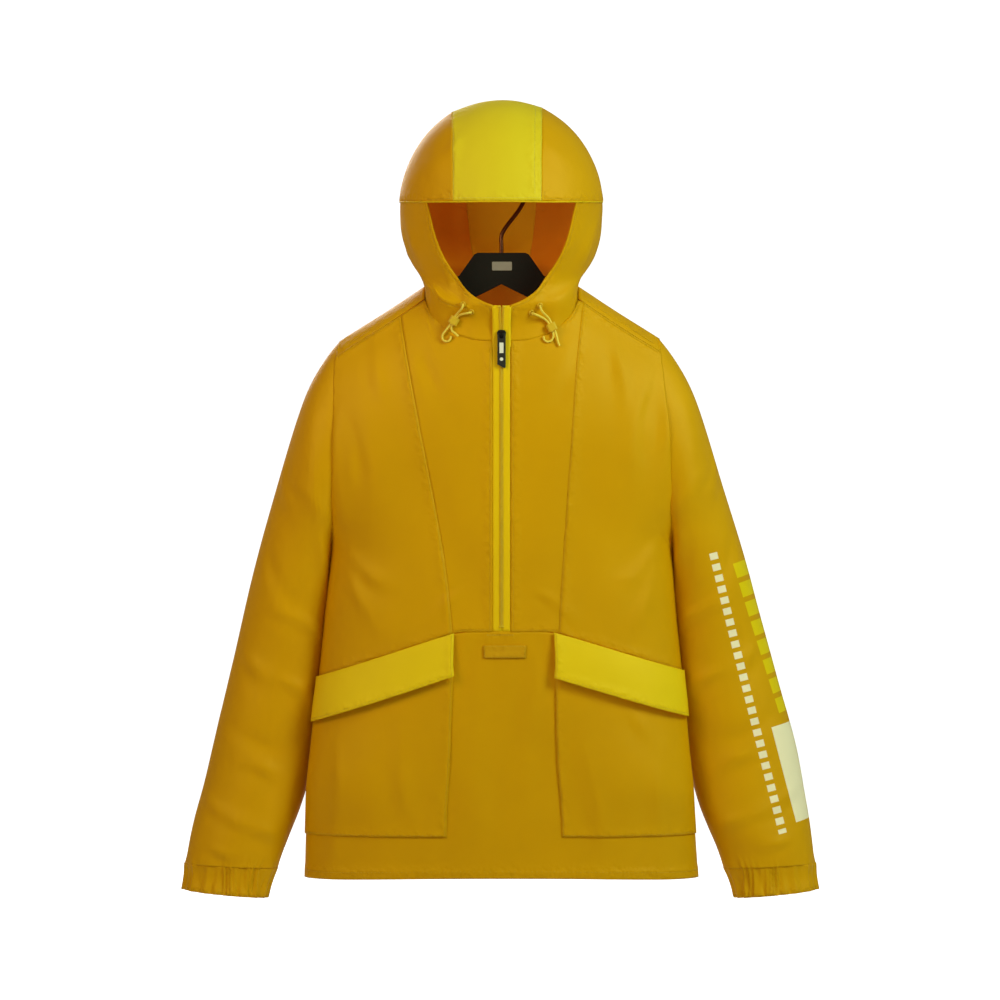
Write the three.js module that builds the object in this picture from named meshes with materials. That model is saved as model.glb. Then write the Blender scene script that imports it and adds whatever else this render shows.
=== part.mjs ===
// Hooded half-zip anorak hanging on a flat hanger.
//
// Millimetres, +Z up, +X to the right as seen from the front, front towards -Y.
// The origin is the inside top of the hanger's hook, where a rod carries it.
// Every piece that is cut and sewn is its own thin wall. Its outer face is a grid of
// points on the garment's shape, and its inner face lies one wall thickness behind it.

import * as THREE from 'three';

// Driving dimensions
const WALL = 1.4; // panels
const TRIM_WALL = 1.2; // pockets and flaps
const SEAM_GAP = 0.3; // between two pieces that are sewn together
const LAY_GAP = 0.3; // between a panel and what lies on it
const NECK_GAP = 1.9; // at the side of the neck, where the hood stands inside the shoulders
const CURVE_GAP = 0.8; // at the neck, armholes and shoulder seams, whose two sides bend apart

const HEM_Z = -852;
const UNDERARM_Z = -450;
const SHOULDER_ROUND = 200; // height over which the shoulder reaches full depth
const SHOULDER_SEAM_DROP = 18; // the shoulder seam lies this far in front of the ridge
const ARMHOLE_ROUND = 150; // height over which the armhole opens
const ARMHOLE_GAPE = 0.74; // share of the body's depth that the armhole has

const NECK_HALF_WIDTH = 93;
const ZIP_HALF_WIDTH = 11;
const ZIP_TOP_Z = -166;
const ZIP_BOTTOM_Z = -554.1;
const ZIP_DEPTH = 0.6; // the tape lies this far behind the fronts' outer face
const ZIP_OPEN = 1.6; // the tape's edge moves this far aside above the slider

const HOOD_Z = -41; // level of the visor's edge
const HOOD = { half: 122, front: 96, back: 98, up: 124, down: 150 };
const VISOR_OVERHANG = 8;
const VISOR_TURN = 5; // height over which the visor's edge turns back to the hood's side
const HOOD_SEAM = { left: 57, right: 47, back: 42 };

// The radius is to the middle of the wire, and the neck is from the bend to the round's middle.
const HOOK = { wire: 5, radius: 28.6, neck: 47.6, foot: -98.2, end: 191 };
const HANGER_THICKNESS = 12;
const HANGER_DROP = 4; // from the shoulder's top line to the arm, with the wall between

// Tables

function table(columns, rows) {
  return rows.map((row) => Object.fromEntries(columns.map((name, i) => [name, row[i]])));
}

// The torso's outline and depth at each height. n is the roundness of the section.
const BODY = table(['z', 'left', 'right', 'front', 'back', 'n'], [
  [-852, -238, 238, 76, 72, 2.5],
  [-780, -236, 233, 76, 72, 2.5],
  [-700, -230, 226, 76, 70, 2.4],
  [-600, -220, 218, 74, 70, 2.4],
  [-520, -212, 210, 73, 70, 2.4],
  [-450, -206, 207, 73, 70, 2.3],
  [-325, -201, 200, 72, 70, 2.3],
  [-240, -201, 193, 72, 70, 2.3],
  [-200, -195, 190, 72, 70, 2.3],
  [-90, -192, 188, 72, 70, 2.3],
]);

// The top line of the shoulders. Inside the neck it is only a guide for the depth.
const RIDGE = table(['x', 'z'], [
  [0, -97], [50, -113], [93, -137], [122, -157], [155, -178], [190, -200], [220, -222],
]);

// The neck seam, from the zip's edge round the side to the middle of the back.
const NECK_FRONT = table(['x', 'z'], [
  [11, -206], [33, -204], [64, -194], [86, -176], [93, -157], [93, -137],
]);
const NECK_BACK = table(['x', 'z'], [
  [93, -137], [78, -134], [55, -129.5], [28, -126.5], [0, -125],
]);

// The seams from the shoulder down to the seam above the pockets.
const PRINCESS = table(['z', 'left', 'right'], [
  [-150, -125, 100],
  [-165, -123, 97.5],
  [-200, -118, 93],
  [-259, -107.5, 87.5],
  [-320, -96, 83.4],
  [-400, -80, 77.5],
  [-470, -68, 72.5],
  [-560, -58, 67.5],
  [-620, -56, 66],
]);

// The seam between the upper fronts and the lower front: level, then down along the flaps.
const FRONT_SEAM = table(['x', 'z'], [
  [-232, -612], [-222, -611], [-60, -557], [-52, -554.5],
  [60, -554.5], [70, -557], [218, -603], [232, -605],
]);

// The sleeves: outer and inner edge as seen from the front, depth and how far back they hang.
const SLEEVE_COLUMNS = ['outerLeft', 'outerRight', 'outerZ', 'innerLeft', 'innerRight', 'innerZ',
  'front', 'back', 'set'];
const SLEEVE = table(SLEEVE_COLUMNS, [
  [-214, 210, -224, -206.8, 207.8, -451.5, 50, 50, 0],
  [-233, 229, -258, -207, 208, -455, 50, 51, 2],
  [-252, 248, -311, -207, 208, -463, 49, 51, 7],
  [-272, 268, -378, -207, 208, -480, 47, 50, 14],
  [-298, 297, -470, -208, 208, -522, 45, 48, 22],
  [-312, 312, -525, -211, 211, -562, 44, 47, 27],
  [-324, 327, -578, -214, 214, -606, 44, 46, 29],
  [-338, 343, -637, -219, 218, -658, 44, 46, 29],
  [-351, 359, -696, -226, 224, -707, 43, 45, 26],
  [-363, 368, -745, -237, 234, -752, 42, 44, 21],
  [-373, 374, -780, -249, 246, -785, 40, 42, 14],
  [-380, 378, -815, -262, 260, -818, 36, 38, 8],
  [-383, 380, -836, -270, 268, -842, 33, 34, 4],
]);
const CUFF = table(SLEEVE_COLUMNS, [
  [-382.6, 379.6, -836.6, -271, 269, -842.8, 31.5, 32.5, 4],
  [-381.5, 378.5, -845, -275, 274, -852, 30, 31, 4],
  [-382.5, 379.5, -855, -279, 278, -863, 31, 32, 4],
  [-384, 381, -864, -282, 281, -874, 33, 34, 4],
]);
const CUFF_GATHERS = 19;
const CUFF_GATHER_POINTS = 3;
const CUFF_GATHER_DEPTH = [0.7, 1.6, 2, 2]; // at each row of the table

// The largest folds: a soft line from one end to the other, its width and its height.
// A negative height is a trough.
const BODY_FOLDS = table(['x0', 'z0', 'x1', 'z1', 'width', 'height'], [
  [-175, -235, -150, -470, 26, 4],
  [168, -235, 150, -430, 24, 4],
  [-120, -330, -30, -520, 24, -3],
  [128, -360, 40, -540, 22, -3],
  [-205, -470, -120, -590, 22, 3.5],
  [205, -465, 130, -580, 22, 3.5],
  [-190, -680, -120, -845, 24, 3],
  [30, -640, 80, -845, 26, -3],
  [175, -690, 120, -845, 24, 3],
  [-60, -660, -30, -845, 22, 2.5],
]);
const BACK_FOLD_SHARE = 0.8; // the back has the same folds turned round, a little lower
const SLEEVE_FOLDS = table(['share0', 'angle0', 'share1', 'angle1', 'width', 'height'], [
  [0.1, 60, 0.32, 150, 0.055, 5],
  [0.16, 300, 0.36, 215, 0.055, 5],
  [0.3, 40, 0.5, 130, 0.05, 4.5],
  [0.34, 320, 0.52, 230, 0.05, 4.5],
  [0.52, 140, 0.66, 30, 0.045, 5],
  [0.56, 215, 0.7, 330, 0.045, 4.5],
  [0.68, 40, 0.8, 130, 0.04, 4],
  [0.8, 150, 0.92, 60, 0.035, 4],
  [0.84, 220, 0.94, 310, 0.035, 3.5],
]);

// The hood's face opening, as seen from the front, from the temple down to the zip.
const FACE_RIM = table(['x', 'z'], [
  [89, -46], [85, -66], [80, -84], [73.5, -101], [66, -116],
  [55, -134], [42.5, -149], [27, -160], [11, -165.8],
]);
const HOOD_SIDE = table(['z', 'half'], [
  [-41, 122], [-70, 120.5], [-98, 114], [-117, 104.5],
  [-127, 97.5], [-133, 93], [-139, 91.4], [-210, 91.2],
]);

// Pockets and flaps, as seen from the front
const POCKET = { bottom: -799, bulge: 7 };
const FLAP = table(['side', 'innerLength', 'outerLength'], [
  ['left', 49, 50],
  ['right', 52, 51],
]);
const FLAP_LIFT = { top: 2.2, low: 9 };
const SLEEVE_GAP = { front: 5.5, behind: 2.8 }; // from the torso's side; the flap ends in front
const PATCH = { left: -21, right: 29, top: -571, bottom: -585.5, wall: 1 };

// Small helpers

const lerp = (a, b, t) => a + (b - a) * t;
const clamp01 = (t) => Math.min(1, Math.max(0, t));
const smooth = (t) => {
  const s = clamp01(t);
  return s * s * (3 - 2 * s);
};
const radians = (degrees) => (degrees * Math.PI) / 180;
const range = (count) => Array.from({ length: count + 1 }, (_, i) => i / count);
const power = (base, exponent) => Math.max(0, base) ** exponent;

// A smooth curve through one column of a table, along another that rises or falls.
function through(rows, along, column) {
  const sorted = [...rows].sort((a, b) => a[along] - b[along]);
  const xs = sorted.map((row) => row[along]);
  const ys = sorted.map((row) => row[column]);
  const last = xs.length - 1;
  const slope = (i) => (ys[i + 1] - ys[i]) / (xs[i + 1] - xs[i]);
  const tangents = xs.map((_, i) => {
    if (i === 0) return slope(0);
    if (i === last) return slope(last - 1);
    const [before, after] = [slope(i - 1), slope(i)];
    return before * after <= 0 ? 0 : (2 * before * after) / (before + after);
  });
  return (x) => {
    const at = Math.min(xs[last], Math.max(xs[0], x));
    let i = 0;
    while (i < last - 1 && at > xs[i + 1]) i += 1;
    const h = xs[i + 1] - xs[i];
    const t = (at - xs[i]) / h;
    const rise = ys[i] * (1 + 2 * t) * (1 - t) ** 2 + ys[i + 1] * t * t * (3 - 2 * t);
    return rise + h * t * (1 - t) * (tangents[i] * (1 - t) - tangents[i + 1] * t);
  };
}

// A polyline through a table's rows, as a function of the share of rows passed.
function along(rows, columns) {
  return (share) => {
    const place = clamp01(share) * (rows.length - 1);
    const i = Math.min(rows.length - 2, Math.floor(place));
    return columns.map((name) => lerp(rows[i][name], rows[i + 1][name], place - i));
  };
}

// Walls

// The outward normals of a grid of points, from its differences along rows and columns.
function gridNormals(points, closed, outward) {
  const rows = points.length;
  const cols = points[0].length;
  const difference = (get, i, count, wraps) => {
    if (wraps) return get((i + 1) % count).clone().sub(get((i + count - 1) % count));
    if (i > 0 && i < count - 1) return get(i + 1).clone().sub(get(i - 1));
    const step = i === 0 ? 1 : -1;
    if (count < 3) return get(1).clone().sub(get(0));
    const run = get(i + step).clone().multiplyScalar(4).sub(get(i + 2 * step));
    return run.addScaledVector(get(i), -3).multiplyScalar(step);
  };
  const acrossRow = (row, j) => difference((k) => row[k], j, cols, closed);
  return points.map((row, i) => row.map((point, j) => {
    const down = difference((k) => points[k][j], i, rows, false);
    const own = acrossRow(row, j);
    const across = own.length() > 1e-3 ? own : acrossRow(points[Math.min(rows - 1, i + 1)], j);
    const normal = down.cross(across).normalize();
    return normal.dot(outward(point, i, j)) < 0 ? normal.negate() : normal;
  }));
}

// A closed wall whose outer face is the grid of points. keep leaves out cells of the grid,
// and lift moves a grid place outwards.
function wall(points, { thickness = WALL, closed = false, outward, keep = () => true, lift = () => 0 }) {
  const rows = points.length;
  const cols = points[0].length;
  const normals = gridNormals(points, closed, outward);
  const positions = [];
  const index = [];
  const known = new Map();
  const vertex = (i, j, inner) => {
    const normal = normals[i][j % cols];
    const out = lift(i, j % cols) - (inner ? thickness : 0);
    const at = points[i][j % cols].clone().addScaledVector(normal, out);
    const key = at.toArray().map((value) => value.toFixed(3)).join(' ');
    if (!known.has(key)) {
      known.set(key, positions.length / 3);
      positions.push(at.x, at.y, at.z);
    }
    return known.get(key);
  };
  const triangle = (a, b, c) => {
    if (a !== b && b !== c && c !== a) index.push(a, b, c);
  };
  const quad = (a, b, c, d) => {
    triangle(a, b, c);
    triangle(a, c, d);
  };
  const cellCols = closed ? cols : cols - 1;
  const kept = (i, j) => {
    if (i < 0 || i >= rows - 1) return false;
    if (!closed && (j < 0 || j >= cellCols)) return false;
    return keep(i, (j + cellCols) % cellCols);
  };
  const middle = [Math.floor((rows - 1) / 2), Math.floor(cellCols / 2)];
  const [mi, mj] = kept(...middle) ? middle : [0, 0];
  const side = points[mi + 1][mj].clone().sub(points[mi][mj]);
  const turn = side.cross(points[mi][(mj + 1) % cols].clone().sub(points[mi][mj]));
  const flip = turn.dot(normals[mi][mj]) < 0;
  const face = (a, b, c, d) => (flip ? quad(d, c, b, a) : quad(a, b, c, d));
  for (let i = 0; i < rows - 1; i += 1) {
    for (let j = 0; j < cellCols; j += 1) {
      if (!kept(i, j)) continue;
      const corners = [[i, j], [i + 1, j], [i + 1, j + 1], [i, j + 1]];
      const beyond = [[i, j - 1], [i + 1, j], [i, j + 1], [i - 1, j]];
      const outer = corners.map(([r, c]) => vertex(r, c, false));
      const inner = corners.map(([r, c]) => vertex(r, c, true));
      face(...outer);
      face(...[...inner].reverse());
      for (let k = 0; k < 4; k += 1) {
        const next = (k + 1) % 4;
        if (!kept(...beyond[k])) face(outer[next], outer[k], inner[k], inner[next]);
      }
    }
  }
  const geometry = new THREE.BufferGeometry();
  geometry.setAttribute('position', new THREE.Float32BufferAttribute(positions, 3));
  geometry.setIndex(index);
  return geometry;
}

// The torso's shape

const bodyAt = Object.fromEntries(
  ['left', 'right', 'front', 'back', 'n'].map((name) => [name, through(BODY, 'z', name)]),
);
const ridgeAt = through(RIDGE, 'x', 'z');
const ridge = (x) => ridgeAt(Math.abs(x));
const princessAt = { left: through(PRINCESS, 'z', 'left'), right: through(PRINCESS, 'z', 'right') };
const frontSeam = (x) => {
  const i = Math.max(0, FRONT_SEAM.findLastIndex((row, k) => k < FRONT_SEAM.length - 1 && row.x <= x));
  const [a, b] = [FRONT_SEAM[i], FRONT_SEAM[i + 1]];
  return lerp(a.z, b.z, clamp01((x - a.x) / (b.x - a.x)));
};

// How far open the side is at a height: 0 where front and back meet in the side seam.
function gapeAt(z) {
  const up = clamp01((z - UNDERARM_Z) / ARMHOLE_ROUND);
  return ARMHOLE_GAPE * Math.sqrt(1 - (1 - up) ** 2);
}

// The section at a height, whose half width is stretched where the side is open.
function sectionAt(z) {
  const [left, right, n] = [bodyAt.left(z), bodyAt.right(z), bodyAt.n(z)];
  const edge = Math.acos(gapeAt(z) ** (n / 2));
  const half = (right - left) / 2 / Math.sin(edge) ** (2 / n);
  return { z, n, edge, half, middle: (left + right) / 2, front: bodyAt.front(z), back: bodyAt.back(z) };
}

const xOf = (angle, section) => section.middle
  + section.half * Math.sign(angle) * Math.abs(Math.sin(angle)) ** (2 / section.n);
const angleOf = (x, section) => {
  const share = Math.min(1, Math.abs(x - section.middle) / section.half);
  return Math.sign(x - section.middle) * Math.asin(share ** (section.n / 2));
};

// The share of the depth that is left near the top of the shoulder.
function shoulderShare(x, z) {
  const down = clamp01((ridge(x) - z) / SHOULDER_ROUND);
  return Math.sqrt(1 - (1 - down) ** 2);
}

// Height of the folds over the plain shape at a place on the front or back.
function bodyFold(x, z) {
  return BODY_FOLDS.reduce((sum, fold) => {
    const [dx, dz] = [fold.x1 - fold.x0, fold.z1 - fold.z0];
    const t = clamp01(((x - fold.x0) * dx + (z - fold.z0) * dz) / (dx * dx + dz * dz));
    const off = Math.hypot(x - fold.x0 - t * dx, z - fold.z0 - t * dz);
    const fade = Math.sin(Math.PI * lerp(0.12, 0.95, t)) ** 0.8;
    return sum + fold.height * fade * Math.exp(-((off / fold.width) ** 2));
  }, 0);
}

// A point on the torso. side is 'front' or 'back'; the angle runs from one side to the other.
function bodyPoint(side, angle, z) {
  const section = sectionAt(z);
  const x = xOf(angle, section);
  const share = power(Math.cos(angle), 2 / section.n) * shoulderShare(x, z);
  const facing = side === 'front' ? -1 : 1;
  const fold = side === 'front' ? bodyFold(x, z) : bodyFold(-x, z) * BACK_FOLD_SHARE;
  return new THREE.Vector3(x, facing * (section[side] * share + fold * smooth(share * 1.4)), z);
}

const frontOut = () => new THREE.Vector3(0, -1, 0);
const backOut = () => new THREE.Vector3(0, 1, 0);
const bodyOut = (point) => new THREE.Vector3(point.x / 3, point.y, 0);

// The angle of the side edge at a height, less half a seam gap.
function sideAngle(side, z) {
  const section = sectionAt(z);
  const closedEdge = Math.acos(power(SEAM_GAP / 2 / section[side], section.n / 2));
  const openEdge = section.edge - SEAM_GAP / 2 / section.half;
  return Math.min(closedEdge, openEdge);
}

// A panel of the front from its columns. angleAt gives a column's angle at a height, and
// lowAt and highAt the heights of its two ends.
function frontColumns(columns, rowShares) {
  const ends = columns.map(({ angleAt, lowAt, highAt }) => [lowAt, highAt].map((heightAt) => {
    let z = heightAt(0);
    for (let pass = 0; pass < 10; pass += 1) z = heightAt(xOf(angleAt(z), sectionAt(z)));
    return z;
  }));
  return rowShares.map((up) => columns.map(({ angleAt }, j) => {
    const z = lerp(ends[j][0], ends[j][1], up);
    return bodyPoint('front', angleAt(z), z);
  }));
}

// Front pieces. The upper fronts and sides run from the seam over the pockets to the shoulder.

const shoulderSeam = (x) => ridge(x) - SHOULDER_SEAM_DROP;
const frontTop = (x) => shoulderSeam(x) - CURVE_GAP;
const frontLow = (x) => frontSeam(x) + SEAM_GAP / 2;
const FRONT_ROWS = range(19);

function frontUpper(side) {
  const sign = side === 'left' ? -1 : 1;
  const seam = (z) => Math.abs(princessAt[side](z)) - SEAM_GAP / 2;
  const column = (share, highAt) => ({
    angleAt: (z) => angleOf(sign * lerp(ZIP_HALF_WIDTH + SEAM_GAP / 2, seam(z), share), sectionAt(z)),
    lowAt: frontLow,
    highAt,
  });
  const neckColumns = NECK_FRONT.slice(0, 5).map(({ x, z }) => {
    const reach = seam(z) - ZIP_HALF_WIDTH;
    return column((x - ZIP_HALF_WIDTH) / reach, () => z - CURVE_GAP);
  });
  return frontColumns([...neckColumns, column(1, frontTop)], FRONT_ROWS);
}

function frontSide(side) {
  const sign = side === 'left' ? -1 : 1;
  const seam = (z) => angleOf(princessAt[side](z) + (sign * SEAM_GAP) / 2, sectionAt(z));
  const columns = [0, 0.2, 0.4, 0.58, 0.74, 0.88, 1].map((share) => ({
    angleAt: (z) => lerp(seam(z), sign * sideAngle('front', z), share),
    lowAt: frontLow,
    highAt: frontTop,
  }));
  return frontColumns(columns, FRONT_ROWS);
}

// The lower front's columns, as shares of the way from the middle to the side seam. The
// pockets' and flaps' inner edges lie on two of them, and the pockets' lower edge on a row.
const LOWER_LEFT = [-1, -0.965, -0.92, -0.84, -0.74, -0.62, -0.49, -0.36, -0.24, -0.127];
const LOWER_RIGHT = [0.15, 0.25, 0.36, 0.49, 0.62, 0.74, 0.84, 0.92, 0.965, 1];
const LOWER_COLUMNS = [...LOWER_LEFT, -0.045, 0.065, ...LOWER_RIGHT];
const HEM_ROWS = 3;
const POCKET_ROWS = 11;

function frontLower() {
  const rows = [];
  const place = (share, zAt) => {
    let z = HEM_Z;
    for (let pass = 0; pass < 8; pass += 1) z = zAt(xOf(share * sideAngle('front', z), sectionAt(z)));
    return bodyPoint('front', share * sideAngle('front', z), z);
  };
  for (let i = 0; i < HEM_ROWS; i += 1) {
    const level = () => lerp(HEM_Z, POCKET.bottom, i / HEM_ROWS);
    rows.push(LOWER_COLUMNS.map((share) => place(share, level)));
  }
  const top = (x) => frontSeam(x) - SEAM_GAP / 2;
  for (let i = 0; i <= POCKET_ROWS; i += 1) {
    const level = (x) => lerp(POCKET.bottom, top(x), i / POCKET_ROWS);
    rows.push(LOWER_COLUMNS.map((share) => place(share, level)));
  }
  return rows;
}

// The columns of the lower front that a pocket and its flap cover, without the side seam
function coveredColumns(side) {
  const all = LOWER_COLUMNS.map((_, j) => j);
  return side === 'left' ? all.slice(1, LOWER_LEFT.length) : all.slice(-LOWER_RIGHT.length, -1);
}

// A pocket lies on the lower front and hangs open a little above its lower edge.
function pocket(side, lower) {
  const columns = coveredColumns(side);
  const points = lower.slice(HEM_ROWS, HEM_ROWS + POCKET_ROWS).map((row) => columns.map((j) => row[j]));
  const lift = (i, j) => {
    const up = i / POCKET_ROWS;
    const over = j / (columns.length - 1);
    const hang = smooth(up / 0.3) * (1 - smooth((up - 0.3) / 0.42)) * Math.sin(Math.PI * over) ** 0.8;
    return LAY_GAP + TRIM_WALL + POCKET.bulge * hang;
  };
  return { points, lift, thickness: TRIM_WALL, outward: bodyOut };
}

// A flap hangs from the seam over its pocket and stands away from it towards its free edge.
function flap(side, lower) {
  const columns = coveredColumns(side).map((j) => lower.map((row) => row[j]));
  const shape = FLAP.find((row) => row.side === side);
  const downs = range(4);
  const points = downs.map((down) => columns.map((column) => {
    const top = column[column.length - 1].z - 0.4;
    const away = clamp01((Math.abs(column[column.length - 1].x) - 57) / 165);
    const z = top - down * lerp(shape.innerLength, shape.outerLength, away);
    return onColumn(column, z);
  }));
  const lift = (i, j) => {
    const over = j / (columns.length - 1);
    const bulge = Math.sin(Math.PI * over) * Math.sin(Math.PI * downs[i] * 0.7) * 2;
    const outward = side === 'left' ? 1 - over : over;
    const low = lerp(FLAP_LIFT.low, FLAP_LIFT.top, outward ** 3);
    return lerp(FLAP_LIFT.top, low, downs[i] ** 0.8) + TRIM_WALL + bulge;
  };
  return { points, lift, thickness: TRIM_WALL, outward: bodyOut };
}

// The point at a height on a column of points that rises
function onColumn(column, z) {
  const i = Math.max(0, Math.min(column.length - 2, column.findLastIndex((point) => point.z <= z)));
  return column[i].clone().lerp(column[i + 1], (z - column[i].z) / (column[i + 1].z - column[i].z));
}

function frontLabel() {
  const points = range(2).map((down) => range(5).map((over) => {
    const z = lerp(PATCH.top, PATCH.bottom, down);
    const x = lerp(PATCH.left, PATCH.right, over);
    return bodyPoint('front', angleOf(x, sectionAt(z)), z);
  }));
  return { points, lift: () => LAY_GAP + PATCH.wall + 0.2, thickness: PATCH.wall, outward: frontOut };
}

// The back, which runs over the shoulders to the seams in front of the ridge

const neckBack = through(NECK_BACK, 'x', 'z');

function backPiece() {
  const topSection = sectionAt(-150);
  const shareAt = (x) => angleOf(x, topSection) / topSection.edge;
  const innerXs = NECK_BACK.slice(0, 4).map((row) => row.x + (row.x === NECK_HALF_WIDTH ? 0.15 : 0));
  const middleShare = shareAt(0);
  const innerRight = innerXs.map((x) => shareAt(x)).reverse();
  const inner = [...innerXs.map((x) => shareAt(-x)), middleShare, ...innerRight];
  const outerLeft = [0, 0.18, 0.36, 0.56, 0.78].map((t) => lerp(-1, inner[0], t));
  const outerRight = [0.22, 0.44, 0.64, 0.82, 1].map((t) => lerp(inner[inner.length - 1], 1, t));
  const shares = [...outerLeft, ...inner, ...outerRight];
  const neckFrom = outerLeft.length;
  const neckTo = neckFrom + inner.length - 1;
  const wrapAngle = Math.acos(1 - (SHOULDER_SEAM_DROP - SEAM_GAP / 2) / SHOULDER_ROUND);
  const lowRows = range(13).slice(0, -1);
  const roundRows = range(9);
  const wrapRows = [0.5, 1];
  const topXs = shares.map((share) => xOf(share * topSection.edge, topSection));
  const place = (j, zAt, facing) => {
    const inNeck = j >= neckFrom && j <= neckTo;
    const angleAt = (z) => {
      const angle = shares[j] * sideAngle(facing, z);
      const section = sectionAt(z);
      return inNeck ? angleOf(lerp(xOf(angle, section), topXs[j], smooth((z + 320) / 120)), section) : angle;
    };
    let z = zAt(topXs[j]);
    for (let pass = 0; pass < 10; pass += 1) z = zAt(xOf(angleAt(z), sectionAt(z)));
    return bodyPoint(facing, angleAt(z), z);
  };
  const roundZ = (turn) => (x) => ridge(x) - SHOULDER_ROUND * (1 - Math.cos(turn));
  const grid = [];
  lowRows.forEach((up) => grid.push(shares.map((_, j) => (
    place(j, (x) => lerp(HEM_Z, ridge(x) - SHOULDER_ROUND, up), 'back')))));
  roundRows.forEach((up) => grid.push(shares.map((_, j) => {
    const inNeck = j > neckFrom && j < neckTo;
    return place(j, (x) => {
      const top = inNeck ? neckBack(Math.abs(x)) - SEAM_GAP / 2 : ridge(x);
      const stop = Math.acos(clamp01(1 - (ridge(x) - top) / SHOULDER_ROUND));
      return roundZ(lerp(Math.PI / 2, stop, up))(x);
    }, 'back');
  })));
  wrapRows.forEach((up) => grid.push(shares.map((_, j) => (
    place(j, (x) => roundZ(wrapAngle * up)(x), 'front')))));
  const wrapStart = lowRows.length + roundRows.length - 1;
  return {
    points: grid,
    keep: (i, j) => i < wrapStart || j < neckFrom || j >= neckTo,
  };
}

// Outward direction of the back at a grid place: back, up at the ridge, then front
function backOutAt(point) {
  return new THREE.Vector3(point.x / 6, point.y, 40 * (1 - shoulderShare(point.x, point.z)) + 0.01);
}

// Sleeves

function sleeveRing(row, side, angle) {
  const name = side === 'left' ? 'Left' : 'Right';
  const outer = new THREE.Vector3(row[`outer${name}`], row.set, row.outerZ);
  const inner = new THREE.Vector3(row[`inner${name}`], row.set, row.innerZ);
  const point = inner.clone().lerp(outer, (1 + Math.cos(angle)) / 2);
  const depth = Math.sin(angle) >= 0 ? -row.front : row.back;
  point.y += depth * Math.abs(Math.sin(angle)) ** 0.92;
  return point;
}

// The armhole as a loop: angle 0 at the shoulder's tip, then down the front to the underarm.
function armholePoint(side, angle) {
  const sign = side === 'left' ? -1 : 1;
  const edgeX = side === 'left' ? bodyAt.left : bodyAt.right;
  const tipZ = ridge(edgeX(-200));
  const z = lerp(UNDERARM_Z - 0.5, tipZ - 0.2, (1 + Math.cos(angle)) / 2);
  const facing = Math.sin(angle) >= 0 ? 'front' : 'back';
  const point = bodyPoint(facing, sign * sectionAt(z).edge, z);
  point.x += sign * CURVE_GAP;
  return point;
}

// Keeps a sleeve point clear of the torso's side below the underarm.
function clearOfBody(point) {
  if (point.z > UNDERARM_Z) return point;
  const section = sectionAt(point.z);
  const widest = lerp(SLEEVE_GAP.behind, SLEEVE_GAP.front, smooth((12 - point.y) / 24));
  const gap = lerp(0.4, widest, clamp01((UNDERARM_Z - point.z) / 110));
  const depth = point.y < 0 ? section.front : section.back;
  const beside = Math.abs(point.y) / (depth + gap);
  if (beside >= 1) return point;
  const least = (section.half + gap) * (1 - beside ** section.n) ** (1 / section.n);
  const off = point.x - section.middle;
  if (Math.abs(off) < least) point.x = section.middle + Math.sign(off) * least;
  return point;
}

function sleeveFold(share, degrees) {
  return SLEEVE_FOLDS.reduce((sum, fold) => {
    const [ds, da] = [fold.share1 - fold.share0, (fold.angle1 - fold.angle0) / 720];
    const [s, a] = [share - fold.share0, (degrees - fold.angle0) / 720];
    const t = clamp01((s * ds + a * da) / (ds * ds + da * da));
    const off = Math.hypot(s - t * ds, a - t * da);
    return sum + fold.height * Math.sin(Math.PI * lerp(0.12, 0.9, t)) * Math.exp(-((off / fold.width) ** 2));
  }, 0);
}

const SLEEVE_AROUND = 20;
const SLEEVE_STEPS = 20;

function sleeve(side) {
  const columns = Object.fromEntries(SLEEVE_COLUMNS.map((name) => [
    name, through(SLEEVE.map((row, i) => ({ ...row, place: i })), 'place', name),
  ]));
  const angles = range(SLEEVE_AROUND).slice(0, -1).map((share) => share * 2 * Math.PI);
  const grid = [angles.map((angle) => armholePoint(side, angle))];
  range(SLEEVE_STEPS).forEach((share) => {
    const place = share * (SLEEVE.length - 1);
    const row = Object.fromEntries(SLEEVE_COLUMNS.map((name) => [name, columns[name](place)]));
    const settled = smooth((place + 1) / 3.5);
    const ring = angles.map((angle) => sleeveRing(row, side, angle));
    const middle = ring.reduce((sum, p) => sum.add(p), new THREE.Vector3()).divideScalar(ring.length);
    grid.push(ring.map((point, k) => {
      const loop = armholePoint(side, angles[k]);
      loop.x = lerp(loop.x, point.x, smooth((place + 1) / 2));
      loop.z = lerp(loop.z, point.z, smooth((place + 1) / 2));
      const out = point.clone().sub(middle).normalize();
      const degrees = (angles[k] * 180) / Math.PI;
      const mended = loop.lerp(point, settled).addScaledVector(out, sleeveFold(share, degrees) * settled);
      return clearOfBody(mended);
    }));
  });
  return grid;
}

// A cuff with the gathers of its elastic, which deepen towards its edge
function cuff(side) {
  const around = CUFF_GATHERS * CUFF_GATHER_POINTS;
  const angles = range(around).slice(0, -1).map((share) => share * 2 * Math.PI);
  return CUFF.map((row, i) => {
    const ring = angles.map((angle) => sleeveRing(row, side, angle));
    const middle = ring.reduce((sum, p) => sum.add(p), new THREE.Vector3()).divideScalar(ring.length);
    return ring.map((point, k) => {
      const wave = Math.sin((k * 2 * Math.PI) / CUFF_GATHER_POINTS + 0.6);
      const out = point.clone().sub(middle).normalize();
      return point.addScaledVector(out, wave * CUFF_GATHER_DEPTH[i]);
    });
  });
}

function tubeOut(grid) {
  const middles = grid.map((ring) => (
    ring.reduce((sum, p) => sum.add(p), new THREE.Vector3()).divideScalar(ring.length)));
  return (point, i) => point.clone().sub(middles[i]);
}

// Hood

const hoodHalf = through(HOOD_SIDE, 'z', 'half');
const HOOD_SEAM_STEPS = 16;
const HOOD_LOW_STEPS = 10;
const HOOD_RIM_STEPS = 8;
const HOOD_UP_STEPS = 5;

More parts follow.
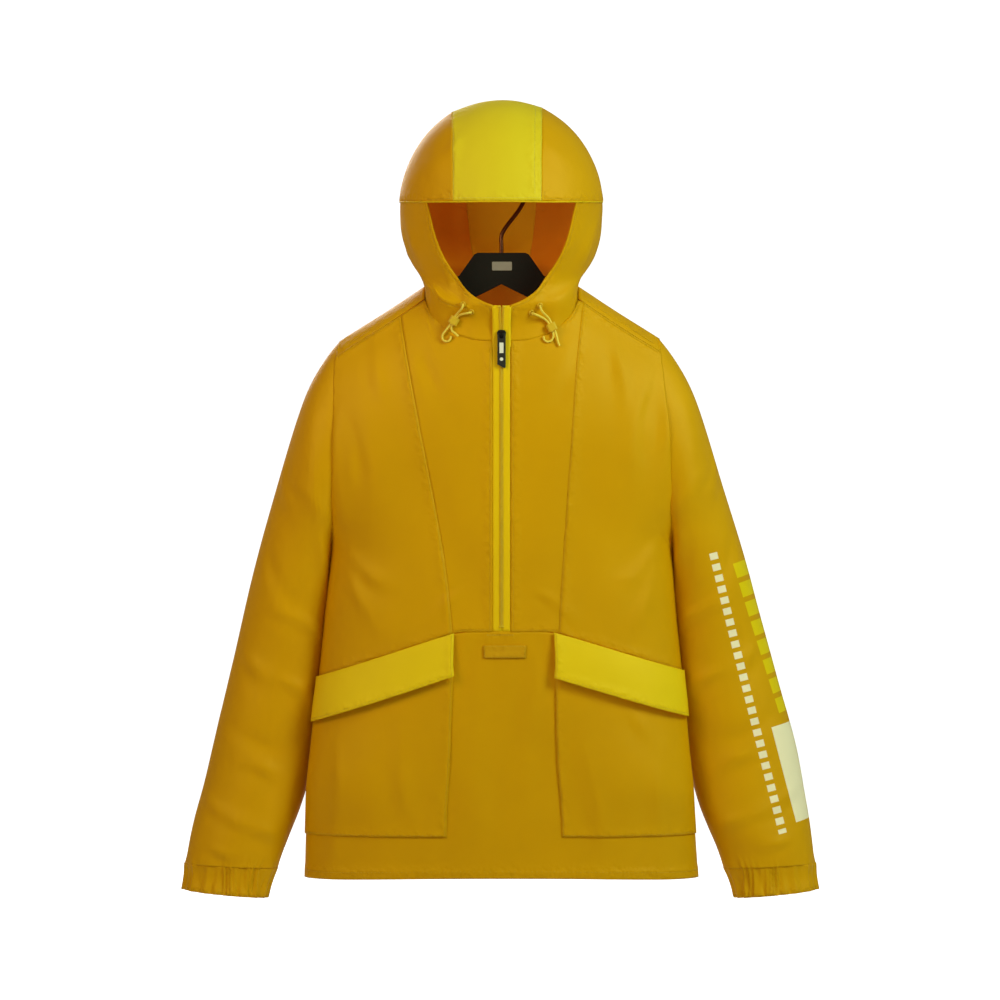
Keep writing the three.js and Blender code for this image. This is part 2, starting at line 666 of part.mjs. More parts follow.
// A point of the dome above the visor's level, from coordinates on a unit ball.
function domePoint(ball) {
  const unit = ball.clone().normalize();
  const depth = unit.y < 0 ? HOOD.front : HOOD.back;
  return new THREE.Vector3(unit.x * HOOD.half, unit.y * depth, HOOD_Z + unit.z * HOOD.up);
}

// A point of the hood below the visor's level: angle 0 is the middle of the front.
function hoodLowPoint(angle, z, setBack) {
  const down = Math.min(0.92, Math.max(0, (HOOD_Z - z) / HOOD.down));
  const share = Math.sqrt(1 - down * down);
  const half = hoodHalf(z) - setBack / 4;
  const depth = (Math.cos(angle) > 0 ? HOOD.front - setBack : HOOD.back) * share;
  return new THREE.Vector3(half * Math.sin(angle), -depth * Math.cos(angle), z);
}

// Half width of the middle panel over the hood: angle 0 at the visor, pi at the back.
function hoodSeamX(side, angle) {
  const front = HOOD_SEAM[side];
  return lerp(front, HOOD_SEAM.back, smooth((angle - Math.PI / 2) / (Math.PI / 2)));
}

function seamBall(side, angle, share = 1) {
  const x = (hoodSeamX(side, angle) * share) / HOOD.half;
  const rest = Math.sqrt(1 - x * x);
  return new THREE.Vector3(x, -rest * Math.cos(angle), rest * Math.sin(angle));
}

const NECK_LOOP = [...NECK_FRONT, ...NECK_BACK.slice(1)];
const BACK_NECK_PLACE = 8; // the row of the neck loop where the middle panel's seam ends

// A point on one side's neck seam at a place along its rows, turned to the right side
function neckPoint(side, place) {
  const sign = side === 'left' ? -1 : 1;
  const at = Math.min(NECK_LOOP.length - 1.0001, place);
  const i = Math.floor(at);
  const on = (row, k) => {
    const facing = k <= 5 ? 'front' : 'back';
    return bodyPoint(facing, angleOf(sign * row.x, sectionAt(row.z)), row.z);
  };
  const point = on(NECK_LOOP[i], i).lerp(on(NECK_LOOP[i + 1], i + 1), at - i);
  const inward = smooth((place - 2) / 2) * (1 - smooth((place - 5) / 2));
  point.x = sign * point.x - NECK_GAP * inward;
  point.z += lerp(0.5, 2 * SEAM_GAP, smooth(place - 5)) + NECK_GAP * inward;
  return point;
}

const hoodAngleOf = (x, z, behind) => {
  const angle = Math.asin(Math.min(1, x / hoodHalf(z)));
  return behind ? Math.PI - angle : angle;
};

// One side of the hood, built as the right one. Its first column is the visor's edge,
// then the face opening, then the zip; its last is the seam to the middle panel.
function hoodSide(side) {
  const columns = range(HOOD_SEAM_STEPS);
  const rimTop = Math.asin(FACE_RIM[0].x / HOOD.half);
  const seamBack = Math.PI - Math.asin(hoodSeamX(side, Math.PI) / HOOD.half);
  const levelAngle = (share) => lerp(rimTop, seamBack, share);
  const rim = along(FACE_RIM, ['x', 'z']);
  const firstColumn = (step) => {
    if (step <= HOOD_RIM_STEPS) {
      const [x, z] = rim(step / HOOD_RIM_STEPS);
      return [hoodAngleOf(x + SEAM_GAP / 2, z, false), z];
    }
    const share = (step - HOOD_RIM_STEPS) / (HOOD_LOW_STEPS - HOOD_RIM_STEPS);
    const z = lerp(FACE_RIM[8].z, NECK_FRONT[0].z + 0.5, share);
    return [hoodAngleOf(ZIP_HALF_WIDTH + SEAM_GAP / 2, z, false), z];
  };
  const straight = (share, fall) => {
    const neck = neckPoint(side, share * BACK_NECK_PLACE);
    const end = [hoodAngleOf(neck.x, neck.z, neck.y > 0), neck.z];
    return [lerp(levelAngle(share), end[0], fall), lerp(HOOD_Z, end[1], fall)];
  };
  const grid = range(HOOD_UP_STEPS).map((down) => columns.map((share) => {
    const seam = seamBall(side, share * Math.PI);
    const level = new THREE.Vector3(Math.sin(levelAngle(share)), -Math.cos(levelAngle(share)), 0);
    const point = domePoint(seam.lerp(level, down));
    point.x += (SEAM_GAP / 2) * (1 - down);
    return point;
  }));
  for (let step = 1; step <= HOOD_LOW_STEPS; step += 1) {
    const fall = step / HOOD_LOW_STEPS;
    grid.push(columns.map((share) => {
      const mend = (1 - share) ** 2.2;
      const [lineAngle, lineZ] = straight(share, fall);
      const [rimAngle, rimZ] = firstColumn(step);
      const [baseAngle, baseZ] = straight(0, fall);
      const angle = lineAngle + (rimAngle - baseAngle) * mend;
      const z = lineZ + (rimZ - baseZ) * mend;
      const forward = 1 - smooth((share - 0.25) / 0.3);
      const tuck = step === 1 ? 0.9 : 1;
      const rise = step === 1 ? VISOR_TURN * forward : 0;
      const point = hoodLowPoint(angle, z + rise, VISOR_OVERHANG * forward * tuck);
      const neck = neckPoint(side, share * BACK_NECK_PLACE);
      const [endAngle, endZ] = [hoodAngleOf(neck.x, neck.z, neck.y > 0), neck.z];
      const plainEnd = hoodLowPoint(endAngle, endZ, VISOR_OVERHANG * forward);
      const pull = smooth((fall - 0.35) / 0.65);
      point.addScaledVector(neck.sub(plainEnd), pull);
      point.x += (SEAM_GAP / 2) * share ** 8;
      return point;
    }));
  }
  return side === 'right' ? grid : grid.map((row) => row.map((p) => new THREE.Vector3(-p.x, p.y, p.z)));
}

// The hood's middle panel, from the visor's edge over the top to the back of the neck
function hoodCenter(leftSide, rightSide) {
  const columns = [-1, -0.5, 0, 0.5, 1];
  const grid = range(HOOD_SEAM_STEPS).map((share) => columns.map((over) => {
    const side = over < 0 ? 'left' : 'right';
    const ball = seamBall(side, share * Math.PI, Math.abs(over));
    if (over < 0) ball.x = -ball.x;
    return domePoint(ball);
  }));
  for (let step = 1; step <= HOOD_LOW_STEPS; step += 1) {
    const row = HOOD_UP_STEPS + step;
    const left = leftSide[row][HOOD_SEAM_STEPS];
    const right = rightSide[row][HOOD_SEAM_STEPS];
    const fall = step / HOOD_LOW_STEPS;
    grid.push(columns.map((over) => {
      const edge = over < 0 ? left : right;
      const t = Math.abs(over);
      const x = over * (Math.abs(edge.x) - SEAM_GAP);
      const middleZ = lerp(HOOD_Z, NECK_BACK[4].z + SEAM_GAP, fall);
      const z = lerp(middleZ, edge.z, t * t);
      const bulge = (edge.y - lerp(left.y, right.y, 0.5)) * t;
      const middleY = (left.y + right.y) / 2 + lerp(6, 3, fall) * (1 - t * t);
      return new THREE.Vector3(x, middleY + bulge, z);
    }));
  }
  return grid;
}

const hoodOut = (point) => new THREE.Vector3(
  point.x, point.y, point.z > HOOD_Z ? point.z - HOOD_Z : 0,
);

// Hard and small pieces

// Zip tapes lie between the fronts, from the top of the chin to the seam.
function zipTape(side) {
  const sign = side === 'left' ? -1 : 1;
  return range(24).map((down) => [0, 1].map((over) => {
    const z = lerp(ZIP_TOP_Z, ZIP_BOTTOM_Z, down);
    const open = ZIP_OPEN * clamp01((z - SLIDER.z) / 20);
    const x = lerp(SEAM_GAP / 2 + open, ZIP_HALF_WIDTH - SEAM_GAP / 2, over);
    return zipPlane(sign * x, z).add(new THREE.Vector3(0, ZIP_DEPTH, 0));
  }));
}

// The front's middle line, which the zip follows over both the hood's chin and the fronts
function zipPlane(x, z) {
  const neckZ = NECK_FRONT[0].z;
  if (z <= neckZ) return bodyPoint('front', angleOf(x, sectionAt(z)), z);
  const neck = bodyPoint('front', angleOf(x, sectionAt(neckZ)), neckZ);
  const chin = CHIN_POINT.clone();
  return new THREE.Vector3(x, lerp(neck.y, chin.y, (z - neckZ) / (chin.z - neckZ)), z);
}

// A tube along points, as an extrusion of a round section
function cordGeometry(points, diameter, sides, steps) {
  const circle = new THREE.Shape();
  circle.absarc(0, 0, diameter / 2, 0, Math.PI * 2, false);
  const path = new THREE.CatmullRomCurve3(points.map((p) => new THREE.Vector3(...p)), false, 'centripetal');
  return new THREE.ExtrudeGeometry(circle, {
    steps, curveSegments: sides / 2, bevelEnabled: false, extrudePath: path,
  });
}

const flatPoints = (pairs) => pairs.map(([x, y]) => new THREE.Vector2(x, y));

// An upright plate that faces the front, from its outline
function plate(outline, thickness, holes = []) {
  const shape = new THREE.Shape(flatPoints(outline));
  holes.forEach((hole) => shape.holes.push(new THREE.Path(flatPoints(hole))));
  const geometry = new THREE.ExtrudeGeometry(shape, {
    depth: thickness, bevelEnabled: false, curveSegments: 6,
  });
  geometry.translate(0, 0, -thickness / 2);
  geometry.rotateX(Math.PI / 2);
  return geometry;
}

// Half outline of the hanger: crown, sloping arm under the shoulder, round tip, notch.
function hangerGeometry() {
  const armTop = [100, 118, 136, 154, 170].map((x) => [x, ridge(x) - HANGER_DROP]);
  const crown = [[29, -98.5], [33, -100.5], [51, -126], [62, -131.5], [82, -136.5]];
  const tip = [[176, -198], [177, -204], [172, -208]];
  const underside = [[150, -200], [120, -188.5], [80, -172.5], [32, -152], [0, -136]];
  const right = [...crown, ...armTop, ...tip, ...underside];
  const left = right.slice(0, -1).reverse().map(([x, z]) => [-x, z]);
  return plate([...right, ...left], HANGER_THICKNESS);
}

// The hook: a stem, a bend to the right, then round over the top to the left
function hookGeometry() {
  const { wire, radius, neck, foot } = HOOK;
  const centreZ = wire / 2 - radius;
  const bendZ = centreZ - neck;
  const start = -Math.asin((radius / neck) * 0.8);
  const arc = range(14).map((share) => {
    const angle = lerp(start, radians(HOOK.end), share);
    return [radius * Math.cos(angle), 0, centreZ + radius * Math.sin(angle)];
  });
  const stem = [[0, 0, foot], [0, 0, foot + 8], [0, 0, bendZ - 4], [2.2, 0, bendZ + 1.5]];
  return cordGeometry([...stem, ...arc], wire, 8, 30);
}

// Drawcords, from their eyelets through the cord locks to their free ends
const CORD_DIAMETER = 2.6;
const CORD_STEPS = 1.6; // rings for each point of a route
const DRAWCORDS = {
  left_a: [[-46, -67.9, -163.7], [-46.2, -69.9, -165], [-47.2, -70.6, -168.3], [-49.8, -67.8, -171.4],
    [-52.4, -63.6, -174], [-54.7, -61.7, -176.6], [-57, -61.5, -180.3], [-59.9, -61.5, -185.1],
    [-62.4, -61.5, -189.1], [-67.2, -60, -195], [-70.8, -58.6, -201.2], [-68.6, -59.4, -206.8],
    [-62.6, -60.6, -206.6], [-60.2, -60.8, -201.4]],
  left_b: [[-36.3, -66.5, -173], [-37.4, -68.8, -173.6], [-40.5, -70, -174.3], [-45, -67.8, -175],
    [-49.2, -63.8, -176.1], [-51.9, -61.7, -178], [-54.5, -61.5, -181.7], [-57.4, -61.5, -186.5],
    [-59.6, -61.5, -190.2], [-59.4, -61.2, -194.6], [-55.6, -61.4, -198], [-51.6, -62, -201.4]],
  right_a: [[46.1, -67.9, -165.3], [46.3, -69.6, -166.8], [47.2, -70.2, -169.8], [49.8, -67.4, -173.6],
    [53.4, -63.4, -177], [56.7, -60.9, -180.4], [58.8, -60.6, -184.3], [60.9, -60.6, -188.8],
    [62.9, -60.6, -193.2], [64.7, -60.6, -197.1], [66.2, -60.8, -202.4], [67.4, -61.2, -208],
    [69.4, -61.4, -212.8]],
  right_b: [[36.4, -66, -174], [37.5, -68.2, -174.7], [40.6, -69.3, -175.8], [45.6, -66.8, -178],
    [50.2, -63, -180.2], [53.6, -60.9, -182.8], [56.1, -60.6, -185.6], [58.2, -60.6, -190.1],
    [60.2, -60.6, -194.5], [61.8, -60.6, -198.6], [61.2, -61, -204], [57.2, -61.6, -207.8],
    [51.8, -61.8, -206.6], [50, -61.6, -201.6]],
};
const CORD_LOCKS = {
  left: { x: -57, y: -61.5, z: -183, lean: 31.3 },
  right: { x: 60, y: -60.6, z: -190.5, lean: -24.8 },
};
const LOCK = { width: 11.5, length: 9.5, depth: 8, corner: 1.8, slotWidth: 6.4, slotDepth: 3.4,
  slotCorner: 0.9 };

// Eyelets of the drawcords, each with the outward direction of the hood there
const EYELETS = {
  left_a: { x: -46, y: -66.4, z: -163.5, out: [-0.05, -0.95, -0.1] },
  left_b: { x: -36, y: -64.9, z: -172.5, out: [-0.23, -0.89, -0.4] },
  right_a: { x: 46, y: -66.4, z: -165, out: [0.15, -0.93, -0.2] },
  right_b: { x: 36, y: -64.4, z: -173.5, out: [0.3, -0.87, -0.4] },
};
const EYELET = { hole: 1.65, outer: 3.6, height: 1.2 };

function eyeletGeometry() {
  const { hole, outer, height } = EYELET;
  const profile = [[hole, 0], [outer, 0], [outer, height * 0.4], [(hole + outer) / 2, height],
    [hole, height * 0.5], [hole, 0]];
  return new THREE.LatheGeometry(flatPoints(profile), 10);
}

// A plate's outline with cut corners
function cutCorners(width, height, corner) {
  const [w, h] = [width / 2, height / 2];
  return [[-w + corner, -h], [w - corner, -h], [w, -h + corner], [w, h - corner], [w - corner, h],
    [-w + corner, h], [-w, h - corner], [-w, -h + corner]];
}

// A cord lock: a barrel with one slot for the two strands, which run along its length
function lockGeometry() {
  const body = new THREE.Shape(flatPoints(cutCorners(LOCK.width, LOCK.depth, LOCK.corner)));
  const slot = flatPoints(cutCorners(LOCK.slotWidth, LOCK.slotDepth, LOCK.slotCorner));
  body.holes.push(new THREE.Path(slot.reverse()));
  const geometry = new THREE.ExtrudeGeometry(body, { depth: LOCK.length, bevelEnabled: false });
  return geometry.translate(0, 0, -LOCK.length / 2);
}

// Zip slider: a plate over the teeth, and a bridge that the pull tab's top bar lies in
const SLIDER = { y: -66.9, z: -200.5, width: 11, height: 12.5, thickness: 2.6, nose: 3.4, tail: 4.2,
  shoulder: 2.75 };
const BRIDGE = { width: 2.4, height: 6.4, wall: 1.3, reach: 4.6, corner: 0.8 };
const TAB = { width: 10, length: 41, thickness: 1.8, y: -70.1, z: -199, tilt: 1.5, slant: 4.5,
  corner: 1.5 };
const TAB_WINDOW = { half: 2.1, top: 0.9, bottom: 5.6 };

function sliderGeometry() {
  const [w, h] = [SLIDER.width / 2, SLIDER.height / 2];
  const right = [[SLIDER.nose, h], [w, h - SLIDER.shoulder], [SLIDER.tail, -h]];
  const left = [...right].reverse().map(([x, z]) => [-x, z]);
  return plate([...right, ...left], SLIDER.thickness);
}

// The bridge is a U that opens towards the slider's plate, as seen from the side
function bridgeGeometry() {
  const { height, wall: thick, reach, width, corner } = BRIDGE;
  const h = height / 2;
  const outside = [[0, -h], [reach - corner, -h], [reach, -h + corner], [reach, h - corner],
    [reach - corner, h], [0, h]];
  const inside = [[0, h - thick], [reach - thick, h - thick], [reach - thick, -h + thick], [0, -h + thick]];
  const outline = [...outside, ...inside];
  const shape = new THREE.Shape(flatPoints(outline.map(([x, y]) => [-x, y])));
  const geometry = new THREE.ExtrudeGeometry(shape, { depth: width, bevelEnabled: false });
  geometry.translate(0, 0, -width / 2);
  geometry.applyMatrix4(new THREE.Matrix4().makeBasis(
    new THREE.Vector3(0, 1, 0), new THREE.Vector3(0, 0, 1), new THREE.Vector3(1, 0, 0),
  ));
  return geometry;
}

// The pull tab, from its top bar at the pivot down to its slanting end
function tabGeometry() {
  const [w, top, corner] = [TAB.width / 2, TAB.thickness / 2, TAB.corner];
  const outline = [[-w + corner, top], [w - corner, top], [w, top - corner], [w, -TAB.length + corner],
    [w - corner, -TAB.length], [-w, -TAB.length + TAB.slant], [-w, top - corner]];
  const hole = [[-TAB_WINDOW.half, -TAB_WINDOW.top], [-TAB_WINDOW.half, -TAB_WINDOW.bottom],
    [TAB_WINDOW.half, -TAB_WINDOW.bottom], [TAB_WINDOW.half, -TAB_WINDOW.top]];
  return plate(outline, TAB.thickness, [hole]);
}

// The group

const INK = 0x17120f;
const CLOTH = { upper: 0xb98a06, side: 0xbd8f08, lower: 0xb28304, flap: 0xc9a015, hood: 0xc9be22,
  sleeve: 0xb88a06, cord: 0xe0c640 };
const garment = new THREE.Group();

function add(name, geometry, color, roughness = 0.6, metalness = 0) {
  const material = new THREE.MeshStandardMaterial({ color, roughness, metalness, flatShading: true });
  const mesh = new THREE.Mesh(geometry, material);
  mesh.name = name;
  garment.add(mesh);
  return mesh;
}

function addWall(name, { points, ...options }, color) {
  return add(name, wall(points, options), color);
}

const lower = frontLower();
const hoodRight = hoodSide('right');
const hoodLeft = hoodSide('left');
const CHIN_POINT = hoodRight[HOOD_UP_STEPS + HOOD_RIM_STEPS][0];

for (const side of ['left', 'right']) {
  add(`front_upper_${side}`, wall(frontUpper(side), { outward: frontOut }), CLOTH.upper);
  add(`front_side_${side}`, wall(frontSide(side), { outward: bodyOut }), CLOTH.side);
  addWall(`pocket_${side}`, pocket(side, lower), CLOTH.lower);
  addWall(`flap_${side}`, flap(side, lower), CLOTH.flap);
  const sleeveGrid = sleeve(side);
  add(`sleeve_${side}`, wall(sleeveGrid, { closed: true, outward: tubeOut(sleeveGrid) }), CLOTH.sleeve);
  const cuffGrid = cuff(side);
  add(`cuff_${side}`, wall(cuffGrid, { closed: true, outward: tubeOut(cuffGrid) }), CLOTH.lower);
  add(`zip_tape_${side}`, wall(zipTape(side), { outward: frontOut, thickness: 1 }), CLOTH.flap);
  const sideGrid = side === 'left' ? hoodLeft : hoodRight;
  add(`hood_side_${side}`, wall(sideGrid, { outward: hoodOut }), CLOTH.upper);
}
add('front_lower', wall(lower, { outward: bodyOut }), CLOTH.lower);
const back = backPiece();
add('back', wall(back.points, { outward: backOutAt, keep: back.keep }), CLOTH.upper);
add('hood_center', wall(hoodCenter(hoodLeft, hoodRight), { outward: hoodOut }), CLOTH.hood);
addWall('front_patch', frontLabel(), CLOTH.lower);
add('hanger_body', hangerGeometry(), INK);
add('hanger_hook', hookGeometry(), INK, 0.3, 0.9);
for (const [name, points] of Object.entries(DRAWCORDS)) {
  const steps = Math.round(points.length * CORD_STEPS);
  add(`drawcord_${name}`, cordGeometry(points, CORD_DIAMETER, 8, steps), CLOTH.cord);
  const eyelet = add(`eyelet_${name}`, eyeletGeometry(), CLOTH.flap, 0.4, 0.6);
  const { x, y, z, out } = EYELETS[name];
  eyelet.position.set(x, y, z);
  eyelet.quaternion.setFromUnitVectors(new THREE.Vector3(0, 1, 0), new THREE.Vector3(...out).normalize());
}
for (const [side, { x, y, z, lean }] of Object.entries(CORD_LOCKS)) {
  const lock = add(`cord_lock_${side}`, lockGeometry(), CLOTH.cord, 0.5);
  lock.position.set(x, y, z);
  lock.rotation.set(0, radians(lean), 0);
}
const slider = add('zip_slider', sliderGeometry(), INK, 0.35, 0.8);
slider.position.set(0, SLIDER.y, SLIDER.z);
const bridge = add('zip_slider_bridge', bridgeGeometry(), INK, 0.35, 0.8);
bridge.position.set(0, SLIDER.y - SLIDER.thickness / 2 - SEAM_GAP, TAB.z);
const tab = add('zip_pull_tab', tabGeometry(), INK, 0.45);
tab.position.set(0, TAB.y, TAB.z);
tab.rotation.x = -radians(TAB.tilt);

export default garment;
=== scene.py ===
# %% [markdown]
# # A hooded anorak on its hanger
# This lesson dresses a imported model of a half-zip anorak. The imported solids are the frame:
# they have the garment's sizes, its main folds and its one moving piece, the zip's pull tab.
# Blender gives each piece its fine surface, its sewing and its finish, and never moves it.

# %% Load the frame
import math

import bmesh
import bpy
import numpy as np
from mathutils import Matrix, Vector
from mathutils.bvhtree import BVHTree
from mathutils.geometry import interpolate_bezier
from mathutils.kdtree import KDTree


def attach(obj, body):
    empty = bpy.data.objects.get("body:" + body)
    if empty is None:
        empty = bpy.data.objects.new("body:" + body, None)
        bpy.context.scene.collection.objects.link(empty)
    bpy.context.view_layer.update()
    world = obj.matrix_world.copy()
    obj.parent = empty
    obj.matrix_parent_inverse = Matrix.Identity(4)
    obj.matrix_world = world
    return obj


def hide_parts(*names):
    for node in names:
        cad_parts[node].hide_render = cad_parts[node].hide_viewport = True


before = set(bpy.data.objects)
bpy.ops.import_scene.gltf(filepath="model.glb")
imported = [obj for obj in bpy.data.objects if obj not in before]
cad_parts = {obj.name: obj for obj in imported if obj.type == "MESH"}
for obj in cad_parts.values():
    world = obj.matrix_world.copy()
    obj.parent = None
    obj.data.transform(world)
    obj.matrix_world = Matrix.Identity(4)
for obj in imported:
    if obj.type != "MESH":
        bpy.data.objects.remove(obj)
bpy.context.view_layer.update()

MM = 0.001
GARMENT, TAB_BODY = "anorak", "pull_tab"
print("nodes in the frame:", len(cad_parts))

# %% [markdown]
# ## Camera
# The garment is photographed straight from the front with a long lens, so that the hood and
# the hem keep their true sizes. A 150 mm lens about five metres away takes in 1.2 metres.

# %% Camera
camera_data = bpy.data.cameras.new("camera")
camera_data.lens = 150
camera_data.sensor_width = 36
camera = bpy.data.objects.new("camera", camera_data)
camera.location = (-0.0018, -5.04, -0.3972)
camera.rotation_euler = (math.pi / 2, 0, 0)
bpy.context.collection.objects.link(camera)
bpy.context.scene.camera = camera
bpy.context.scene.view_settings.view_transform = "Standard"

# %% [markdown]
# ## Drawcords
# Two thin cords leave two eyelets on each side of the hood, run together through a lock and end free. A
# curve with a round bevel is the natural way to make a cord: its own line is the centreline.

# %% Drawcord routes, in millimetres
CORD_DIAMETER = 2.6
DRAWCORDS = {
    "left_a": [
        (-46, -67.9, -163.7), (-46.2, -69.9, -165), (-47.2, -70.6, -168.3), (-49.8, -67.8, -171.4),
        (-52.4, -63.6, -174), (-54.7, -61.7, -176.6), (-57, -61.5, -180.3), (-59.9, -61.5, -185.1),
        (-62.4, -61.5, -189.1), (-67.2, -60, -195), (-70.8, -58.6, -201.2), (-68.6, -59.4, -206.8),
        (-62.6, -60.6, -206.6), (-60.2, -60.8, -201.4)],
    "left_b": [
        (-36.3, -66.5, -173), (-37.4, -68.8, -173.6), (-40.5, -70, -174.3), (-45, -67.8, -175),
        (-49.2, -63.8, -176.1), (-51.9, -61.7, -178), (-54.5, -61.5, -181.7), (-57.4, -61.5, -186.5),
        (-59.6, -61.5, -190.2), (-59.4, -61.2, -194.6), (-55.6, -61.4, -198), (-51.6, -62, -201.4)],
    "right_a": [
        (46.1, -67.9, -165.3), (46.3, -69.6, -166.8), (47.2, -70.2, -169.8), (49.8, -67.4, -173.6),
        (53.4, -63.4, -177), (56.7, -60.9, -180.4), (58.8, -60.6, -184.3), (60.9, -60.6, -188.8),
        (62.9, -60.6, -193.2), (64.7, -60.6, -197.1), (66.2, -60.8, -202.4), (67.4, -61.2, -208),
        (69.4, -61.4, -212.8)],
    "right_b": [
        (36.4, -66, -174), (37.5, -68.2, -174.7), (40.6, -69.3, -175.8), (45.6, -66.8, -178),
        (50.2, -63, -180.2), (53.6, -60.9, -182.8), (56.1, -60.6, -185.6), (58.2, -60.6, -190.1),
        (60.2, -60.6, -194.5), (61.8, -60.6, -198.6), (61.2, -61, -204), (57.2, -61.6, -207.8),
        (51.8, -61.8, -206.6), (50, -61.6, -201.6)],
}

# %% Drawcords as curves
def smooth_curve(name, points, diameter):
    """A curve object along points in millimetres, round and with closed ends."""
    data = bpy.data.curves.new(name, "CURVE")
    data.dimensions = "3D"
    data.bevel_depth = diameter / 2 * MM
    data.bevel_resolution = 4
    data.use_fill_caps = True
    data.resolution_u = 6
    spline = data.splines.new("BEZIER")
    spline.bezier_points.add(len(points) - 1)
    for bezier, point in zip(spline.bezier_points, points):
        bezier.co = Vector(point) * MM
        bezier.handle_left_type = bezier.handle_right_type = "AUTO"
    obj = bpy.data.objects.new(name, data)
    bpy.context.collection.objects.link(obj)
    return obj


def curve_path(curve):
    """Points along a curve object's line, seven to each span, in metres."""
    knots = curve.data.splines[0].bezier_points
    path = [knots[0].co.copy()]
    for a, b in zip(knots, knots[1:]):
        path += interpolate_bezier(a.co, a.handle_right, b.handle_left, b.co, 7)[1:]
    return path


def curve_to_mesh(curve, name):
    """Replaces a curve object by a mesh object of the same round form."""
    bpy.context.view_layer.update()
    graph = bpy.context.evaluated_depsgraph_get()
    mesh = bpy.data.meshes.new_from_object(curve.evaluated_get(graph))
    bpy.data.objects.remove(curve)
    mesh.materials.clear()
    mesh.shade_smooth()
    obj = bpy.data.objects.new(name, mesh)
    bpy.context.collection.objects.link(obj)
    return obj


drawcord_objects = []
for strand, route in DRAWCORDS.items():
    line = smooth_curve(f"line_{strand}", route, CORD_DIAMETER)
    bpy.context.view_layer.update()
    path = curve_path(line)
    cord = curve_to_mesh(line, f"cord_{strand}")
    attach(cord, GARMENT)
    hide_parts(f"drawcord_{strand}")
    drawcord_objects.append(cord)

# %% [markdown]
# ## Node groups for the cloth
# The shell is a thin, smooth nylon with a soft sheen. Three effects make it: a fine weave, the
# broad unevenness of a light cloth that hangs, and the puckers beside a row of stitches. Each
# is a node group that gives only a height or a colour, so several cloths can share it.

# %% Helpers for node groups
def new_group(name, inputs, outputs):
    """A node group with named number, colour or vector sockets."""
    group = bpy.data.node_groups.new(name, "ShaderNodeTree")
    for socket, kind, value in inputs:
        made = group.interface.new_socket(socket, in_out="INPUT", socket_type=f"NodeSocket{kind}")
        made.default_value = value
    for socket, kind in outputs:
        group.interface.new_socket(socket, in_out="OUTPUT", socket_type=f"NodeSocket{kind}")
    return group


class Wiring:
    """Adds nodes to a tree and links values or sockets into their inputs."""

    def __init__(self, tree):
        self.tree = tree

    def put(self, target, value):
        if isinstance(value, bpy.types.NodeSocket):
            self.tree.links.new(value, target)
        elif value is not None:
            target.default_value = value

    def node(self, kind, inputs=None, **settings):
        made = self.tree.nodes.new(f"ShaderNode{kind}")
        for name, value in settings.items():
            setattr(made, name, value)
        for name, value in (inputs or {}).items():
            self.put(made.inputs[name], value)
        return made

    def math(self, operation, *values, clamp=False):
        made = self.node("Math", operation=operation, use_clamp=clamp)
        for socket, value in zip(made.inputs, values):
            self.put(socket, value)
        return made.outputs[0]

    def mix(self, share, a, b, blend="MIX"):
        made = self.node("Mix", data_type="RGBA", blend_type=blend)
        for name, value in (("Factor_Float", share), ("A_Color", a), ("B_Color", b)):
            self.put(next(s for s in made.inputs if s.identifier == name), value)
        return next(s for s in made.outputs if s.identifier == "Result_Color")

    def noise(self, vector, scale, detail=2.0, roughness=0.5):
        made = self.node("TexNoise", {"Scale": scale, "Detail": detail, "Roughness": roughness,
                                      "Vector": vector})
        return made.outputs["Fac"]

    def mapped(self, vector, scale=(1, 1, 1), location=(0, 0, 0), rotation=(0, 0, 0)):
        made = self.node("Mapping", {"Vector": vector, "Scale": scale, "Location": location,
                                     "Rotation": rotation})
        return made.outputs[0]


# %% Weave, hang and pucker
def weave_group():
    """Crossing threads of a plain weave, seen in the plane of the front and of the sides."""
    group = new_group("plain weave", [("Coordinates", "Vector", (0, 0, 0)), ("Thread", "Float", 0.0008)],
                      [("Height", "Float")])
    w = Wiring(group)
    ends, out = group.nodes.new("NodeGroupInput"), group.nodes.new("NodeGroupOutput")
    split = w.node("SeparateXYZ", {"Vector": ends.outputs["Coordinates"]})
    turns = w.math("DIVIDE", math.pi, ends.outputs["Thread"])
    around = w.math("ADD", split.outputs["X"], split.outputs["Y"])
    warp = w.math("SINE", w.math("MULTIPLY", around, turns))
    weft = w.math("SINE", w.math("MULTIPLY", split.outputs["Z"], turns))
    w.put(out.inputs["Height"], w.math("MULTIPLY_ADD", w.math("MULTIPLY", warp, weft), 0.5, 0.5))
    return group


def hang_group():
    """Soft upright unevenness of a light cloth, and a finer crumple across it."""
    group = new_group("cloth hang", [("Coordinates", "Vector", (0, 0, 0)), ("Crumple", "Float", 0.35)],
                      [("Height", "Float")])
    w = Wiring(group)
    ends, out = group.nodes.new("NodeGroupInput"), group.nodes.new("NodeGroupOutput")
    tall = w.noise(w.mapped(ends.outputs["Coordinates"], scale=(1, 1, 0.22)), 26, 2.5, 0.5)
    slant = w.noise(w.mapped(ends.outputs["Coordinates"], scale=(1, 1, 0.5), rotation=(0, 0.6, 0)), 38, 3)
    fine = w.math("MULTIPLY", slant, ends.outputs["Crumple"])
    w.put(out.inputs["Height"], w.math("ADD", tall, fine))
    return group


